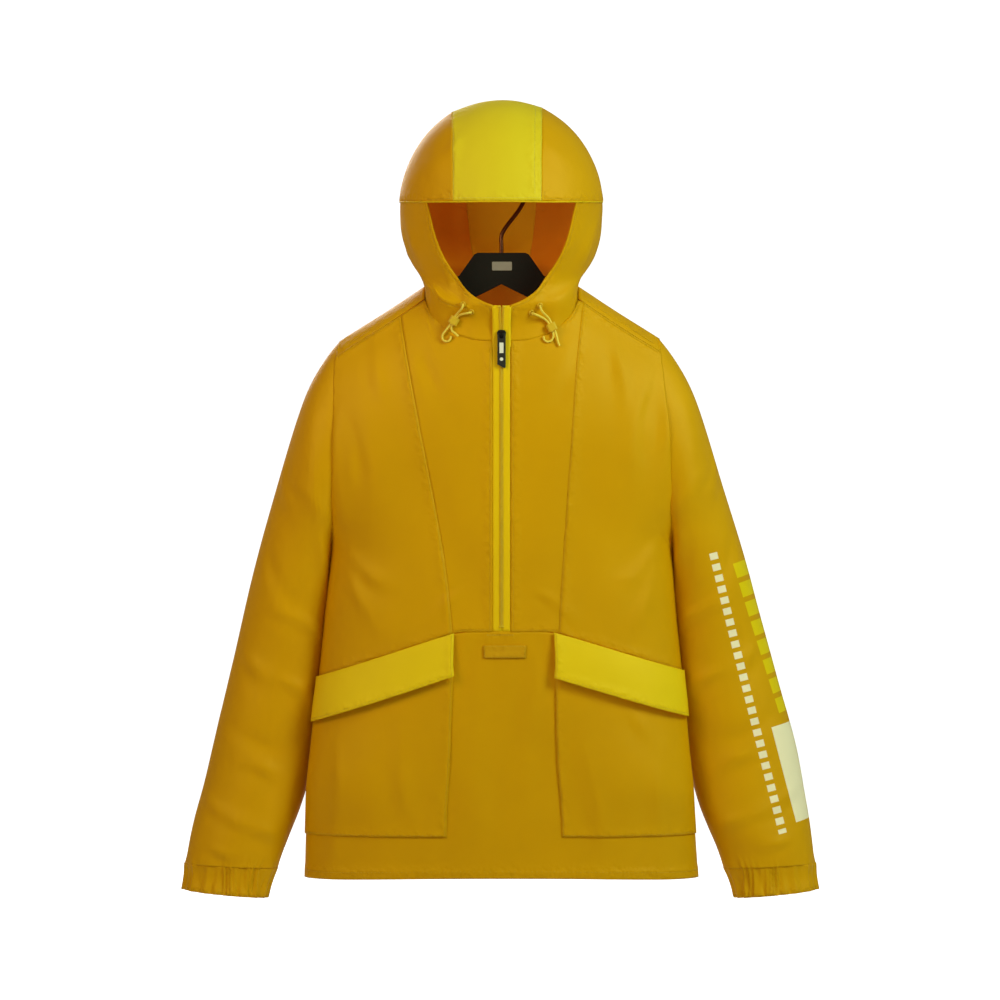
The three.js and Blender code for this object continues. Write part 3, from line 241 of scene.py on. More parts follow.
def pucker_group():
    """Puckers beside stitches, and the groove that the row pulls; the cloth darkens this groove as painted
    shade.
    """
    group = new_group("seam pucker", [("Coordinates", "Vector", (0, 0, 0)), ("Distance", "Float", 1.0),
                                      ("Reach", "Float", 0.008), ("Scale", "Float", 120.0)],
                      [("Height", "Float"), ("Groove", "Float")])
    w = Wiring(group)
    ends, out = group.nodes.new("NodeGroupInput"), group.nodes.new("NodeGroupOutput")
    ridges = w.noise(ends.outputs["Coordinates"], ends.outputs["Scale"], 1.5)
    near = w.math("DIVIDE", ends.outputs["Distance"], ends.outputs["Reach"])
    fade = w.math("POWER", 2.718, w.math("MULTIPLY", w.math("MULTIPLY", near, near), -1.0))
    tight = w.math("DIVIDE", ends.outputs["Distance"], 0.0011)
    groove = w.math("POWER", 2.718, w.math("MULTIPLY", w.math("MULTIPLY", tight, tight), -1.0))
    w.put(out.inputs["Height"], w.math("MULTIPLY", ridges, fade))
    w.put(out.inputs["Groove"], groove)
    return group


WEAVE, HANG, PUCKER = weave_group(), hang_group(), pucker_group()
print("cloth groups:", WEAVE.name, HANG.name, PUCKER.name)

# %% [markdown]
# The right sleeve of such an anorak often has a print that runs down it. Here it is plain:
# a row of dashes, a band in the cloth's own colour and a pale block. The group turns the
# sleeve's place into coordinates across and along a slanting line, and gives one mask.

# %% Stripe mask for the sleeve print
def stripe_group():
    """A mask that is one inside a slanting stripe on the front half, in metres."""
    group = new_group("slanting stripe", [
        ("Coordinates", "Vector", (0, 0, 0)), ("Start", "Vector", (0, 0, 0)), ("Slant", "Float", 0.0),
        ("Half width", "Float", 0.004), ("Length", "Float", 0.3), ("Dash", "Float", 1.0),
        ("Filled", "Float", 1.0), ("Behind", "Float", 0.03), ("Lean", "Float", 0.0)], [("Mask", "Float")])
    w = Wiring(group)
    ends, out = group.nodes.new("NodeGroupInput"), group.nodes.new("NodeGroupOutput")
    off = w.node("VectorMath", operation="SUBTRACT")
    w.put(off.inputs[0], ends.outputs["Coordinates"])
    w.put(off.inputs[1], ends.outputs["Start"])
    split = w.node("SeparateXYZ", {"Vector": off.outputs[0]})
    sine, cosine = w.math("SINE", ends.outputs["Slant"]), w.math("COSINE", ends.outputs["Slant"])
    x, z = split.outputs["X"], split.outputs["Z"]
    across = w.math("ADD", w.math("MULTIPLY", x, cosine), w.math("MULTIPLY", z, sine))
    down = w.math("SUBTRACT", w.math("MULTIPLY", x, sine), w.math("MULTIPLY", z, cosine))
    inside = w.math("LESS_THAN", w.math("ABSOLUTE", across), ends.outputs["Half width"])
    begun = w.math("GREATER_THAN", down, 0.0)
    ended = w.math("LESS_THAN", down, ends.outputs["Length"])
    dash = w.math("FRACT", w.math("DIVIDE", down, ends.outputs["Dash"]))
    filled = w.math("LESS_THAN", dash, ends.outputs["Filled"])
    real = w.node("SeparateXYZ", {"Vector": ends.outputs["Coordinates"]})
    edge = w.math("MULTIPLY_ADD", real.outputs["Z"], ends.outputs["Lean"], ends.outputs["Behind"])
    front = w.math("LESS_THAN", real.outputs["Y"], edge)
    mask = inside
    for part in (begun, ended, filled, front):
        mask = w.math("MULTIPLY", mask, part)
    w.put(out.inputs["Mask"], mask)
    return group


STRIPE = stripe_group()

# %% [markdown]
# ## Cloth materials
# One function makes every cloth. What differs is the colour, the darker colour of random patches and of the
# painted shade in the grooves beside stitches, and the side: the inside of the hood is the same cloth, seen
# against the light, which painted light stands in for: a more orange colour and a glow.

# %% Colours, as they look on a screen
def seen(red, green, blue, alpha=1.0):
    """A colour given from 0 to 255 as a screen shows it, in the linear values that nodes use."""
    def straight(value):
        share = value / 255
        return share / 12.92 if share <= 0.04045 else ((share + 0.055) / 1.055) ** 2.4
    return (straight(red), straight(green), straight(blue), alpha)


SHELL = seen(222, 161, 0)
LEMON = seen(230, 202, 40)
# Partly painted light: the flaps are a lighter cloth, and their yellow is made lighter still so that they
# look lit from above, as flaps that tilt up to the light are.
FLAP_YELLOW_WITH_PAINTED_LIGHT = seen(246, 206, 22)
# Painted light: the shell's colour as its inside looks against the light, more orange than the shell.
BACKLIT_SHELL = seen(236, 146, 10)
CREAM = seen(255, 238, 216)


def cloth_material(name, color, deep, roughness=0.48, sheen=0.25, weave=0.0008, hang=1.0, stripes=(),
                   painted_glow=None):
    """A woven cloth. deep is the darker colour that random patches turn to, and also the painted shade in
    the groove beside each row of stitches. The glow colours are painted light: an emission that stands in
    for the light that comes through the thin cloth to its inside, brighter towards the right."""
    material = bpy.data.materials.new(name)
    material.use_nodes = True
    tree = material.node_tree
    w = Wiring(tree)
    shader = tree.nodes["Principled BSDF"]
    place = w.node("TexCoord").outputs["Object"]
    distance = w.node("Attribute", attribute_name="seam_distance").outputs["Fac"]
    threads = w.node("Group", node_tree=WEAVE)
    w.put(threads.inputs["Coordinates"], place)
    threads.inputs["Thread"].default_value = weave
    hanging = w.node("Group", node_tree=HANG)
    w.put(hanging.inputs["Coordinates"], place)
    pucker = w.node("Group", node_tree=PUCKER)
    w.put(pucker.inputs["Distance"], distance)
    w.put(pucker.inputs["Coordinates"], place)
    mottle = w.noise(place, 9, 3)
    shade = w.math("MULTIPLY_ADD", mottle, 0.36, -0.04, clamp=True)
    tone = w.mix(shade, color, deep)
    # Painted shade: the colour turns partly to deep in the narrow groove beside each row of stitches.
    tone = w.mix(w.math("MULTIPLY", pucker.outputs["Groove"], 0.3), tone, deep)
    for ink, settings in stripes:
        stripe = w.node("Group", node_tree=STRIPE)
        w.put(stripe.inputs["Coordinates"], place)
        for socket, value in settings.items():
            stripe.inputs[socket].default_value = value
        tone = w.mix(stripe.outputs["Mask"], tone, ink)
    w.put(shader.inputs["Base Color"], tone)
    rough = w.math("MULTIPLY_ADD", mottle, 0.12, roughness - 0.06)
    w.put(shader.inputs["Roughness"], rough)
    shader.inputs["Specular IOR Level"].default_value = 0.3
    shader.inputs["Specular Tint"].default_value = (1, 0.78, 0.3, 1)
    shader.inputs["Sheen Weight"].default_value = sheen
    shader.inputs["Sheen Roughness"].default_value = 0.4
    shader.inputs["Sheen Tint"].default_value = color
    # Painted light: an emission in soft upright streaks, brighter towards the right, stands in for the light
    # that comes through the thin cloth.
    if painted_glow:
        folds = w.noise(w.mapped(place, scale=(1, 1, 0.3)), 16, 2)
        across = w.node("SeparateXYZ", {"Vector": place}).outputs["X"]
        cloudy = w.math("MULTIPLY_ADD", folds, 1.4, w.math("MULTIPLY_ADD", across, 3.5, -0.2), clamp=True)
        w.put(shader.inputs["Emission Color"], w.mix(cloudy, painted_glow[0], painted_glow[1]))
        shader.inputs["Emission Strength"].default_value = 1.0
    bump = w.node("Bump", {"Height": hanging.outputs["Height"], "Distance": 0.003 * hang, "Strength": 0.4})
    seams = w.node("Bump", {"Height": pucker.outputs["Height"], "Distance": 0.0022, "Strength": 0.9,
                            "Normal": bump.outputs[0]})
    groove = w.node("Bump", {"Height": pucker.outputs["Groove"], "Distance": 0.0006, "Strength": 0.9,
                             "Normal": seams.outputs[0]}, invert=True)
    fine = w.node("Bump", {"Height": threads.outputs["Height"], "Distance": 0.00012, "Strength": 0.5,
                           "Normal": groove.outputs[0]})
    w.put(shader.inputs["Normal"], fine.outputs[0])
    return material


SLEEVE_STRIPES = [
    (CREAM, {"Start": (0.2545, 0, -0.4608), "Slant": math.radians(14.0), "Half width": 0.0050,
             "Length": 0.348, "Dash": 0.0137, "Filled": 0.6}),
    (seen(236, 202, 10), {"Start": (0.289, 0, -0.471), "Slant": math.radians(17.5), "Half width": 0.0105,
                          "Length": 0.195, "Dash": 0.0245, "Filled": 0.74, "Behind": -0.027, "Lean": -0.1}),
    (CREAM, {"Start": (0.3549, 0, -0.6641), "Slant": math.radians(14.5), "Half width": 0.03,
             "Length": 0.118, "Behind": 0.127, "Lean": 0.14}),
]
shell_cloth = cloth_material("shell cloth", SHELL, seen(176, 122, 0))
sleeve_cloth = cloth_material("printed sleeve cloth", SHELL, seen(176, 122, 0), stripes=SLEEVE_STRIPES)
lemon_cloth = cloth_material("lemon panel cloth", LEMON, seen(196, 172, 12), sheen=0.3)
flap_cloth_with_painted_light = cloth_material("flap cloth", FLAP_YELLOW_WITH_PAINTED_LIGHT, seen(198, 158, 6), hang=0.6)
tape_cloth = cloth_material("zip tape", seen(244, 200, 14), seen(216, 162, 6), roughness=0.5, sheen=0.2,
                            weave=0.0006, hang=0.1)
# The inside faces: copies of the shell and of the lemon panel with painted light, a more orange colour and a
# glow.
backlit_inside = cloth_material("inside of the cloth", BACKLIT_SHELL, seen(196, 104, 6), roughness=0.6, sheen=0.1,
                        painted_glow=((0.03, 0.010, 0.0004, 1), (0.115, 0.052, 0.003, 1)))
backlit_panel_inside = cloth_material("inside of the panel", seen(226, 176, 14), seen(180, 122, 4), roughness=0.6,
                              sheen=0.1, painted_glow=((0.05, 0.023, 0.0006, 1), (0.15, 0.085, 0.003, 1)))
patch_cloth = cloth_material("bare label", seen(216, 158, 14), seen(190, 130, 8), roughness=0.6, hang=0.1)
print("cloth materials:", 8)

# %% [markdown]
# ## Cloth forms
# Each packed cloth node is a thin closed wall of flat facets. A copy of it becomes the fine
# piece: its corners are merged, its triangles joined back to quads and its rims creased, so
# that a Subdivision Surface rounds the faces and keeps the cut edges where they are.
# The small creases then push both faces of the wall the same way, along a field of outward
# directions that neighbouring pieces share. Seams therefore stay closed.

# %% Outward fields
HOOD_Z = -0.041
SLEEVE_LINE = np.array([  # z, x on the left, x on the right, y
    (-0.84, -0.327, 0.325, 0.004), (-0.815, -0.321, 0.319, 0.008), (-0.77, -0.309, 0.307, 0.016),
    (-0.70, -0.290, 0.291, 0.026), (-0.62, -0.274, 0.275, 0.029), (-0.54, -0.262, 0.262, 0.025),
    (-0.46, -0.248, 0.248, 0.015), (-0.38, -0.238, 0.237, 0.008), (-0.30, -0.226, 0.224, 0.003),
    (-0.22, -0.206, 0.203, 0.0)])


def unit_rows(vectors):
    return vectors / np.maximum(np.linalg.norm(vectors, axis=1, keepdims=True), 1e-9)


def smoothstep(values):
    share = np.clip(values, 0, 1)
    return share * share * (3 - 2 * share)


def body_field(points):
    """Out from the torso's axis, turning upwards over the shoulders."""
    rise = 0.06 * smoothstep((points[:, 2] + 0.30) / 0.16)
    return unit_rows(np.column_stack([points[:, 0] / 6, points[:, 1], rise]))


def sleeve_field(points):
    """Out from the middle line of the sleeve on that side."""
    lines = [np.interp(points[:, 2], SLEEVE_LINE[:, 0], SLEEVE_LINE[:, k]) for k in (1, 2, 3)]
    middle = np.where(points[:, 0] < 0, lines[0], lines[1])
    return unit_rows(np.column_stack([points[:, 0] - middle, points[:, 1] - lines[2], 0 * middle]))


def hood_field(points):
    """Out from the middle of the head."""
    return unit_rows(np.column_stack([points[:, 0], points[:, 1], np.maximum(points[:, 2] - HOOD_Z, 0)]))


# %% [markdown]
# A crease is a soft ridge with a shallower trough beside it, along a bowed line. All of them
# stand in short tables, in millimetres on a flat chart of the cloth: across and height for the
# body, and the way round and height for sleeves and hood. A minus height is a trough.

# %% Creases
CREASE_COLUMNS = ("u0", "v0", "u1", "v1", "bow", "width", "height")
FRONT_CREASES = [
    (-196, -292, -186, -440, 6, 9, 2.6), (-182, -300, -168, -400, -5, 8, -1.8),
    (196, -250, 186, -392, -7, 9, 3.0), (182, -262, 172, -360, 5, 8, -2.0),
    (-188, -452, -120, -505, 8, 9, 1.8), (-186, -470, -140, -560, 6, 8, 1.5),
    (190, -440, 138, -500, -8, 9, 1.9), (186, -470, 150, -560, -6, 8, 1.5),
    (-98, -205, -60, -300, 5, 10, -1.6), (96, -205, 60, -290, -5, 10, -1.6),
    (-150, -200, -140, -290, 4, 8, 1.3), (130, -196, 150, -300, -5, 8, 1.5),
    (-30, -560, -48, -640, 3, 8, -1.2), (46, -562, 60, -650, -3, 8, -1.2),
    (-34, -500, -90, -545, 4, 7, 1.3), (40, -505, 92, -545, -4, 7, 1.3),
    (-120, -660, -100, -800, 8, 11, 1.8), (-60, -700, -78, -840, -6, 10, -1.4),
    (40, -610, 30, -760, 6, 12, 1.6), (96, -690, 120, -838, -7, 11, 1.8),
    (190, -700, 196, -840, 5, 10, 1.8), (-196, -690, -204, -842, -5, 10, 1.8),
    (-10, -620, 4, -840, 7, 12, -1.2), (150, -640, 200, -700, 4, 9, 1.3),
]
BACK_CREASES = [
    (-190, -300, -150, -450, 8, 11, 2.6), (188, -290, 150, -440, -8, 11, 2.6),
    (-150, -470, -60, -560, 8, 10, 1.9), (160, -480, 70, -575, -8, 10, 1.9),
    (-80, -200, -40, -330, 6, 12, -1.8), (70, -205, 44, -340, -6, 12, -1.8),
    (-10, -220, 6, -430, 6, 14, 1.5), (-180, -640, -150, -830, 7, 11, 2.0),
    (176, -650, 140, -835, -7, 11, 2.0), (-70, -640, -90, -835, 7, 13, 1.8),
    (60, -620, 84, -838, -7, 13, 1.8), (0, -560, -12, -800, 6, 13, -1.6),
    (-120, -340, -70, -430, 5, 9, 1.4), (118, -350, 66, -450, -5, 9, 1.4),
]
SLEEVE_CREASES = [  # u runs from 0 at the outer edge over the front: 75 front, 150 inner, 225 back
    (20, -330, 74, -400, 8, 9, 2.0), (60, -360, 128, -450, -8, 9, 2.4), (96, -400, 142, -520, 6, 8, 2.2),
    (30, -440, 100, -520, 8, 9, -1.7), (66, -520, 140, -560, -6, 8, 2.2), (20, -560, 92, -610, 7, 9, 1.9),
    (80, -600, 146, -650, -6, 8, 2.4), (24, -650, 110, -690, 8, 9, -1.8), (50, -700, 130, -735, -7, 8, 2.2),
    (14, -740, 90, -775, 6, 8, 2.0), (70, -775, 140, -800, -5, 7, 2.0), (30, -800, 100, -812, 5, 7, 1.6),
    (168, -400, 236, -480, 8, 9, 2.2), (180, -500, 260, -560, -8, 9, 2.2),
    (160, -590, 240, -640, 7, 9, -1.8), (176, -660, 262, -700, -7, 9, 2.2),
    (166, -730, 240, -770, 6, 8, 2.0), (190, -790, 270, -810, -5, 7, 1.6),
]
HOOD_CREASES = [  # u runs round the head from 0 in front, to the right
    (70, -60, 64, -150, 6, 8, 1.8), (-72, -58, -66, -150, -6, 8, 1.8), (96, -90, 74, -180, 6, 8, -1.6),
    (-98, -86, -76, -180, -6, 8, -1.6), (150, -60, 140, -130, 6, 10, 1.8),
    (-150, -60, -140, -130, -6, 10, 1.8),
    (196, 0, 190, -110, 7, 12, 1.6), (-196, 0, -190, -110, -7, 12, 1.6), (60, 40, 110, 0, 6, 12, 1.3),
    (-64, 36, -112, -6, -6, 12, 1.3),
]


def relief(across, height, creases):
    """Height of the creases at points of a chart, all in metres."""
    total = np.zeros(len(across))
    for index, row in enumerate(creases):
        u0, v0, u1, v1, bow, width, high = (value * MM for value in row)
        du, dv = u1 - u0, v1 - v0
        size = math.hypot(du, dv)
        share = np.clip(((across - u0) * du + (height - v0) * dv) / size**2, 0, 1)
        off = ((across - u0) * dv - (height - v0) * du) / size
        off = off - bow * 4 * share * (1 - share)
        past = np.hypot(across - u0 - share * du, height - v0 - share * dv)
        off = np.where(np.abs(off) > past, off, np.sign(off) * np.maximum(np.abs(off), past - abs(bow)))
        wide = width * (0.8 + 0.5 * share)
        fade = np.sin(np.pi * (0.06 + 0.88 * share)) * (1 + 0.3 * np.sin(9 * share + 2.1 * index))
        ridge = np.exp(-((off / wide) ** 2)) - 0.4 * np.exp(-((off / wide - 1.5) ** 2))
        total += high * fade * ridge
    return total


def body_relief(points):
    """Creases of the front or back, and the doubled hem."""
    front = points[:, 1] < 0
    flat = relief(points[:, 0], points[:, 2], FRONT_CREASES)
    behind = relief(points[:, 0], points[:, 2], BACK_CREASES)
    hem = 0.0005 * smoothstep((-0.838 - points[:, 2]) / 0.003)
    gentle = smoothstep((-0.175 - points[:, 2]) / 0.05)
    return np.where(front, flat, behind) * gentle + hem


def gathers(angle, height):
    """Sharp uneven folds round the cuff, which run on a little way up the sleeve."""
    wander = 2.2 * np.sin(3 * angle + 0.7) + 1.3 * np.sin(7 * angle + 2)
    folds = 1 - np.abs(np.sin(14 * angle + wander))
    deep = 0.62 + 0.38 * np.sin(5 * angle + 1.4)
    return 0.0038 * (folds - 0.4) * deep * smoothstep((-0.822 - height) / 0.024)


def sleeve_relief(points):
    """Creases of a sleeve, the gathers at its cuff, and the rise where it lies at the torso."""
    lines = [np.interp(points[:, 2], SLEEVE_LINE[:, 0], SLEEVE_LINE[:, k]) for k in (1, 2, 3)]
    left = points[:, 0] < 0
    outer = np.where(left, -(points[:, 0] - lines[0]), points[:, 0] - lines[1])
    angle = np.arctan2(-(points[:, 1] - lines[2]), outer) % (2 * math.pi)
    mirrored = np.where(left, points[:, 2] + 0.012, points[:, 2])
    creases = relief(angle * 0.048, mirrored, SLEEVE_CREASES)
    settled = smoothstep((-0.27 - points[:, 2]) / 0.08)
    inner = np.exp(-(((angle - math.pi) / 0.75) ** 2))
    resting = smoothstep((-0.42 - points[:, 2]) / 0.04) * smoothstep((points[:, 2] + 0.70) / 0.10)
    return creases * settled + gathers(angle, points[:, 2]) + 0.0034 * inner * resting


def cuff_relief(points):
    """The gathers of the cuff, on the same chart as the sleeve's."""
    lines = [np.interp(points[:, 2], SLEEVE_LINE[:, 0], SLEEVE_LINE[:, k]) for k in (1, 2, 3)]
    outer = np.where(points[:, 0] < 0, -(points[:, 0] - lines[0]), points[:, 0] - lines[1])
    angle = np.arctan2(-(points[:, 1] - lines[2]), outer) % (2 * math.pi)
    return gathers(angle, points[:, 2])


def visor_level(y):
    """Height of the visor's lower edge, a little higher beside the head than in front."""
    return -0.043 + 0.07 * np.clip(y + 0.09, 0, 0.13)


def hood_relief(points):
    """Creases of the hood, its full crown, and the step at the visor's edge."""
    around = np.arctan2(points[:, 0], -points[:, 1])
    fade = smoothstep((points[:, 2] + 0.20) / 0.04)
    visor = 0.0014 * smoothstep((points[:, 2] - visor_level(points[:, 1]) + 0.001) / 0.003)
    visor *= smoothstep((0.05 - points[:, 1]) / 0.04)
    crown = 0.0012 * smoothstep((points[:, 2] + 0.14) / 0.05) + 0.0024 * smoothstep(points[:, 2] / 0.08)
    return relief(around * 0.11, points[:, 2], HOOD_CREASES) * fade + visor + crown


print("creases:", len(FRONT_CREASES), "front,", len(BACK_CREASES), "back,", len(SLEEVE_CREASES), "a sleeve")

# %% [markdown]
# The function below makes one fine piece. It keeps the creased rim edges, where the sewing will go. Which
# faces look inwards, so that the inside can have its own colour, is found when the piece is dressed.

# %% Make one fine cloth piece
def copy_node(name, node):
    """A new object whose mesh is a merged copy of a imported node's mesh."""
    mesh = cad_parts[node].data.copy()
    mesh.materials.clear()
    piece = bpy.data.objects.new(name, mesh)
    bpy.context.collection.objects.link(piece)
    form = bmesh.new()
    form.from_mesh(mesh)
    bmesh.ops.remove_doubles(form, verts=form.verts, dist=2e-6)
    form.to_mesh(mesh)
    form.free()
    return piece


def apply_modifiers(piece):
    """Turns the piece's modifiers into plain mesh."""
    graph = bpy.context.evaluated_depsgraph_get()
    made = bpy.data.meshes.new_from_object(piece.evaluated_get(graph))
    old = piece.data
    piece.modifiers.clear()
    piece.data = made
    bpy.data.meshes.remove(old)


def seam_growth(node, place, out):
    """How far a rim reaches out to meet its neighbour, in millimetres. The seams of the
    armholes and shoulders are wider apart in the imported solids, and the neck most of all.
    The free ends of flaps and cuffs are turned up and a little longer."""
    if node.startswith("zip_tape") and place.z > -0.2 and place.x * out.x < 0:
        return 1.1
    if node.startswith("flap") and out.z < -0.5:
        return 2.0 + 2.5 * min(1, abs(place.x) / 0.2)
    if node.startswith("cuff") and place.z < -0.85:
        return 4.0
    if node.startswith("hood") and out.z < -0.3 and place.z < -0.12:
        return 4.5 if abs(place.x) > 0.07 else 2.4
    if node.startswith("hood") and out.z < -0.3 and place.z > -0.06 and place.y < -0.03:
        return 1.6
    if node == "front_lower" and out.z < -0.5:
        return -3.4 * (1 - min(1, abs(place.x) / 0.2) ** 2)
    if out.z > 0.5 and abs(place.x) < 0.12 and place.z > -0.2:
        return 1.3
    if abs(place.x) > 0.17 and place.z > -0.26:
        return 1.5
    if out.z > 0.5 or (abs(out.x) > 0.5 and abs(place.x) > 0.18 and place.z > -0.45):
        return 0.8
    return 0.32


def close_seams(node, form, thickest=0.0017):
    """Moves the rims of a wall a little outwards, so that sewn pieces meet."""
    moves = {}
    for face in form.faces:
        if min(edge.calc_length() for edge in face.edges) > thickest:
            continue
        if face.calc_area() > thickest * max(edge.calc_length() for edge in face.edges):
            continue
        for vert in face.verts:
            moves.setdefault(vert, []).append(face.normal.copy())
    for vert, normals in moves.items():
        out = sum(normals, Vector()).normalized()
        vert.co += out * seam_growth(node, vert.co, out) * MM


def fine_cloth(node, levels, field, height, rim_angle=50):
    """A packed cloth node as a smooth thin wall with its small creases."""
    piece = copy_node(f"cloth_{node}", node)
    mesh = piece.data
    form = bmesh.new()
    form.from_mesh(mesh)
    bmesh.ops.join_triangles(form, faces=form.faces, angle_face_threshold=math.radians(40),
                             angle_shape_threshold=math.radians(60))
    close_seams(node, form)
    crease = form.edges.layers.float.new("crease_edge")
    corner = form.verts.layers.float.new("crease_vert")
    for edge in form.edges:
        if len(edge.link_faces) == 2 and edge.calc_face_angle(0) > math.radians(rim_angle):
            edge[crease] = 1.0
    for vert in form.verts:
        rims = [edge for edge in vert.link_edges if edge[crease] > 0.5]
        if len(rims) > 2:
            vert[corner] = 1.0
    form.to_mesh(mesh)
    form.free()
    subdivide = piece.modifiers.new("surface", "SUBSURF")
    subdivide.levels = subdivide.render_levels = levels
    apply_modifiers(piece)
    mesh = piece.data
    points = np.empty(len(mesh.vertices) * 3)
    mesh.vertices.foreach_get("co", points)
    points = points.reshape(-1, 3)
    points += field(points) * height(points)[:, None]
    mesh.vertices.foreach_set("co", points.ravel())
    mesh.update()
    mesh.shade_smooth()
    return piece


# %% [markdown]
# ## Sewing
# A row of stitches runs beside most seams. The fine mesh knows its rim: edges that are creased and touch a
# face that looks outwards. Each such edge gives one stitch, moved in from the rim by the row's inset and set
# down on the cloth. The same points then tell the material how far the nearest stitch is, for the puckers
# and for the painted shade in the groove beside them.

# %% Find the rim and sew along it
def rim_edges(piece, field):
    """Middle, direction and inward direction of each rim edge of the outer face."""
    form = bmesh.new()
    form.from_mesh(piece.data)
    crease = form.edges.layers.float.get("crease_edge")
    found = []
    for edge in form.edges:
        if edge[crease] < 0.5 or len(edge.link_faces) != 2:
            continue
        middle = (edge.verts[0].co + edge.verts[1].co) / 2
        out = Vector(field(np.array([middle]))[0])
        facing = sorted(edge.link_faces, key=lambda face: face.normal.dot(out))
        soft_fold = facing[0].normal.dot(out) > 0.6 and edge.calc_face_angle(0) < 0.6
        if facing[1].normal.dot(out) < 0.35 or soft_fold:
            continue
        along = (edge.verts[1].co - edge.verts[0].co)
        inward = facing[1].calc_center_median() - middle
        inward -= along.normalized() * inward.dot(along.normalized())
        found.append((middle, along, inward.normalized()))
    tree = BVHTree.FromBMesh(form)
    form.free()
    return found, tree


SIDES = {
    "left": lambda inward: inward.x > 0.7,
    "right": lambda inward: inward.x < -0.7,
    "bottom": lambda inward: inward.z > 0.5,
    "top": lambda inward: inward.z < -0.5,
    "all": lambda inward: True,
}
STITCH_PITCH = 0.003


def point_tree(places):
    """A quick finder of the nearest of some places."""
    tree = KDTree(len(places))
    for index, place in enumerate(places):
        tree.insert(place, index)
    tree.balance()
    return tree


all_stitches = {"shell": [], "pale": []}


def sew(piece, field, rows, thread="shell", lines=()):
    """Adds rows of stitches: (side of the piece, inset in millimetres, where), and lines of
    stitches through points. Then stores on the piece how far its points are from a stitch."""
    rim, tree = rim_edges(piece, field)
    edge_tree = point_tree([middle for middle, _, _ in rim])
    points = []

    def stitch(place, normal, along, color):
        points.append(place)
        all_stitches[color].append((place + normal * 0.00012, along, normal))

    for side, inset, where in rows:
        row = []
        for middle, along, inward in rim:
            if not SIDES[side](inward) or (where and not where(middle)):
                continue
            place, normal, _, _ = tree.find_nearest(middle + inward * inset * MM)
            if place is not None and edge_tree.find(place)[2] > inset * 0.88 * MM:
                row.append((place, normal, along))
        places = point_tree([place for place, _, _ in row])
        for place, normal, along in row:
            if len(places.find_range(place, 3.5 * along.length)) > 3:
                stitch(place, normal, along, thread)
    for color, corners in lines:
        route = [Vector(corner) * MM for corner in corners]
        for a, b in zip(route, route[1:]):
            steps = max(1, round((b - a).length / STITCH_PITCH))
            for step in range(steps):
                place, normal, _, _ = tree.find_nearest(a.lerp(b, (step + 0.5) / steps))
                stitch(place, normal, (b - a) / steps, color)
    mesh = piece.data
    distance = np.ones(len(mesh.vertices), dtype=np.float32)
    if points:
        near = point_tree(points)
        for vert in mesh.vertices:
            distance[vert.index] = near.find(vert.co)[2]
    mesh.attributes.new("seam_distance", "FLOAT", "POINT").data.foreach_set("value", distance)
    return len(points)


# %% [markdown]
# ## The pieces
# Every piece that a maker would cut is named here once, with its cloth and the sides that are topstitched.

# %% Table of cloth pieces
CLOTH_PIECES = {}


def inside_faces(mesh, field):
    """Which faces are the inside of the wall. The creased rims part its faces into regions,
    and each region is judged as a whole, so a fold that turns round keeps its colour."""
    form = bmesh.new()
    form.from_mesh(mesh)
    form.faces.ensure_lookup_table()
    crease = form.edges.layers.float.get("crease_edge")
    outward = field(np.array([face.calc_center_median() for face in form.faces]))
    facing = [face.normal.dot(Vector(out)) * face.calc_area() for face, out in zip(form.faces, outward)]
    inside = np.zeros(len(form.faces), dtype=np.int32)
    for first in form.faces:
        if first.tag:
            continue
        first.tag = True
        region, waiting = [], [first]
        while waiting:
            face = waiting.pop()
            region.append(face.index)
            for edge in face.edges:
                if edge[crease] > 0.5:
                    continue
                for other in edge.link_faces:
                    if not other.tag:
                        other.tag = True
                        waiting.append(other)
        area = sum(form.faces[index].calc_area() for index in region)
        if sum(facing[index] for index in region) < -0.3 * area:
            inside[region] = 1
    form.free()
    return inside


def add_cloth(node, cloth, rows, levels=3, field=body_field, height=body_relief,
              thread="shell", lines=(), inside=backlit_inside):
    """Makes and dresses one cut piece, and keeps it in the table of pieces."""
    piece = fine_cloth(node, levels, field, height)
    sewn = sew(piece, field, rows, thread, lines)
    mesh = piece.data
    mesh.materials.append(cloth)
    mesh.materials.append(inside)
    areas = np.empty(len(mesh.polygons))
    mesh.polygons.foreach_get("area", areas)
    mesh.polygons.foreach_set("material_index", inside_faces(mesh, field))
    mesh.update()
    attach(piece, GARMENT)
    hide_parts(node)
    CLOTH_PIECES[node] = piece
    return piece


# %% Fronts and back
for side, inner, outer in (("left", "right", "left"), ("right", "left", "right")):
    add_cloth(f"front_upper_{side}", shell_cloth,
              [(inner, 3.2, None), ("bottom", 2.4, None)])
    add_cloth(f"front_side_{side}", shell_cloth,
              [(inner, 2.2, None), ("bottom", 2.4, None), ("top", 2.6, None)])
BAR_TACKS = [[(-18, -75, -557.4 - row), (15, -75, -557.4 - row)] for row in (0, 0.7, 1.4)]
add_cloth("front_lower", shell_cloth, [("bottom", 8.5, None)],
          lines=[("shell", tack) for tack in BAR_TACKS])
add_cloth("back", shell_cloth, [("bottom", 8.5, None)])

# %% Pockets and flaps
for side in ("left", "right"):
    add_cloth(f"pocket_{side}", shell_cloth, [("all", 2.2, None)])
    add_cloth(f"flap_{side}", flap_cloth_with_painted_light,
              [("bottom", 3.0, None), ("left", 3.0, None), ("right", 3.0, None)])

# %% Sleeves and cuffs
for side in ("left", "right"):
    add_cloth(f"sleeve_{side}", sleeve_cloth if side == "right" else shell_cloth,
              [("top", 2.6, None)], field=sleeve_field, height=sleeve_relief)
    add_cloth(f"cuff_{side}", shell_cloth, [("bottom", 2.5, None)], levels=2,
              field=sleeve_field, height=cuff_relief)

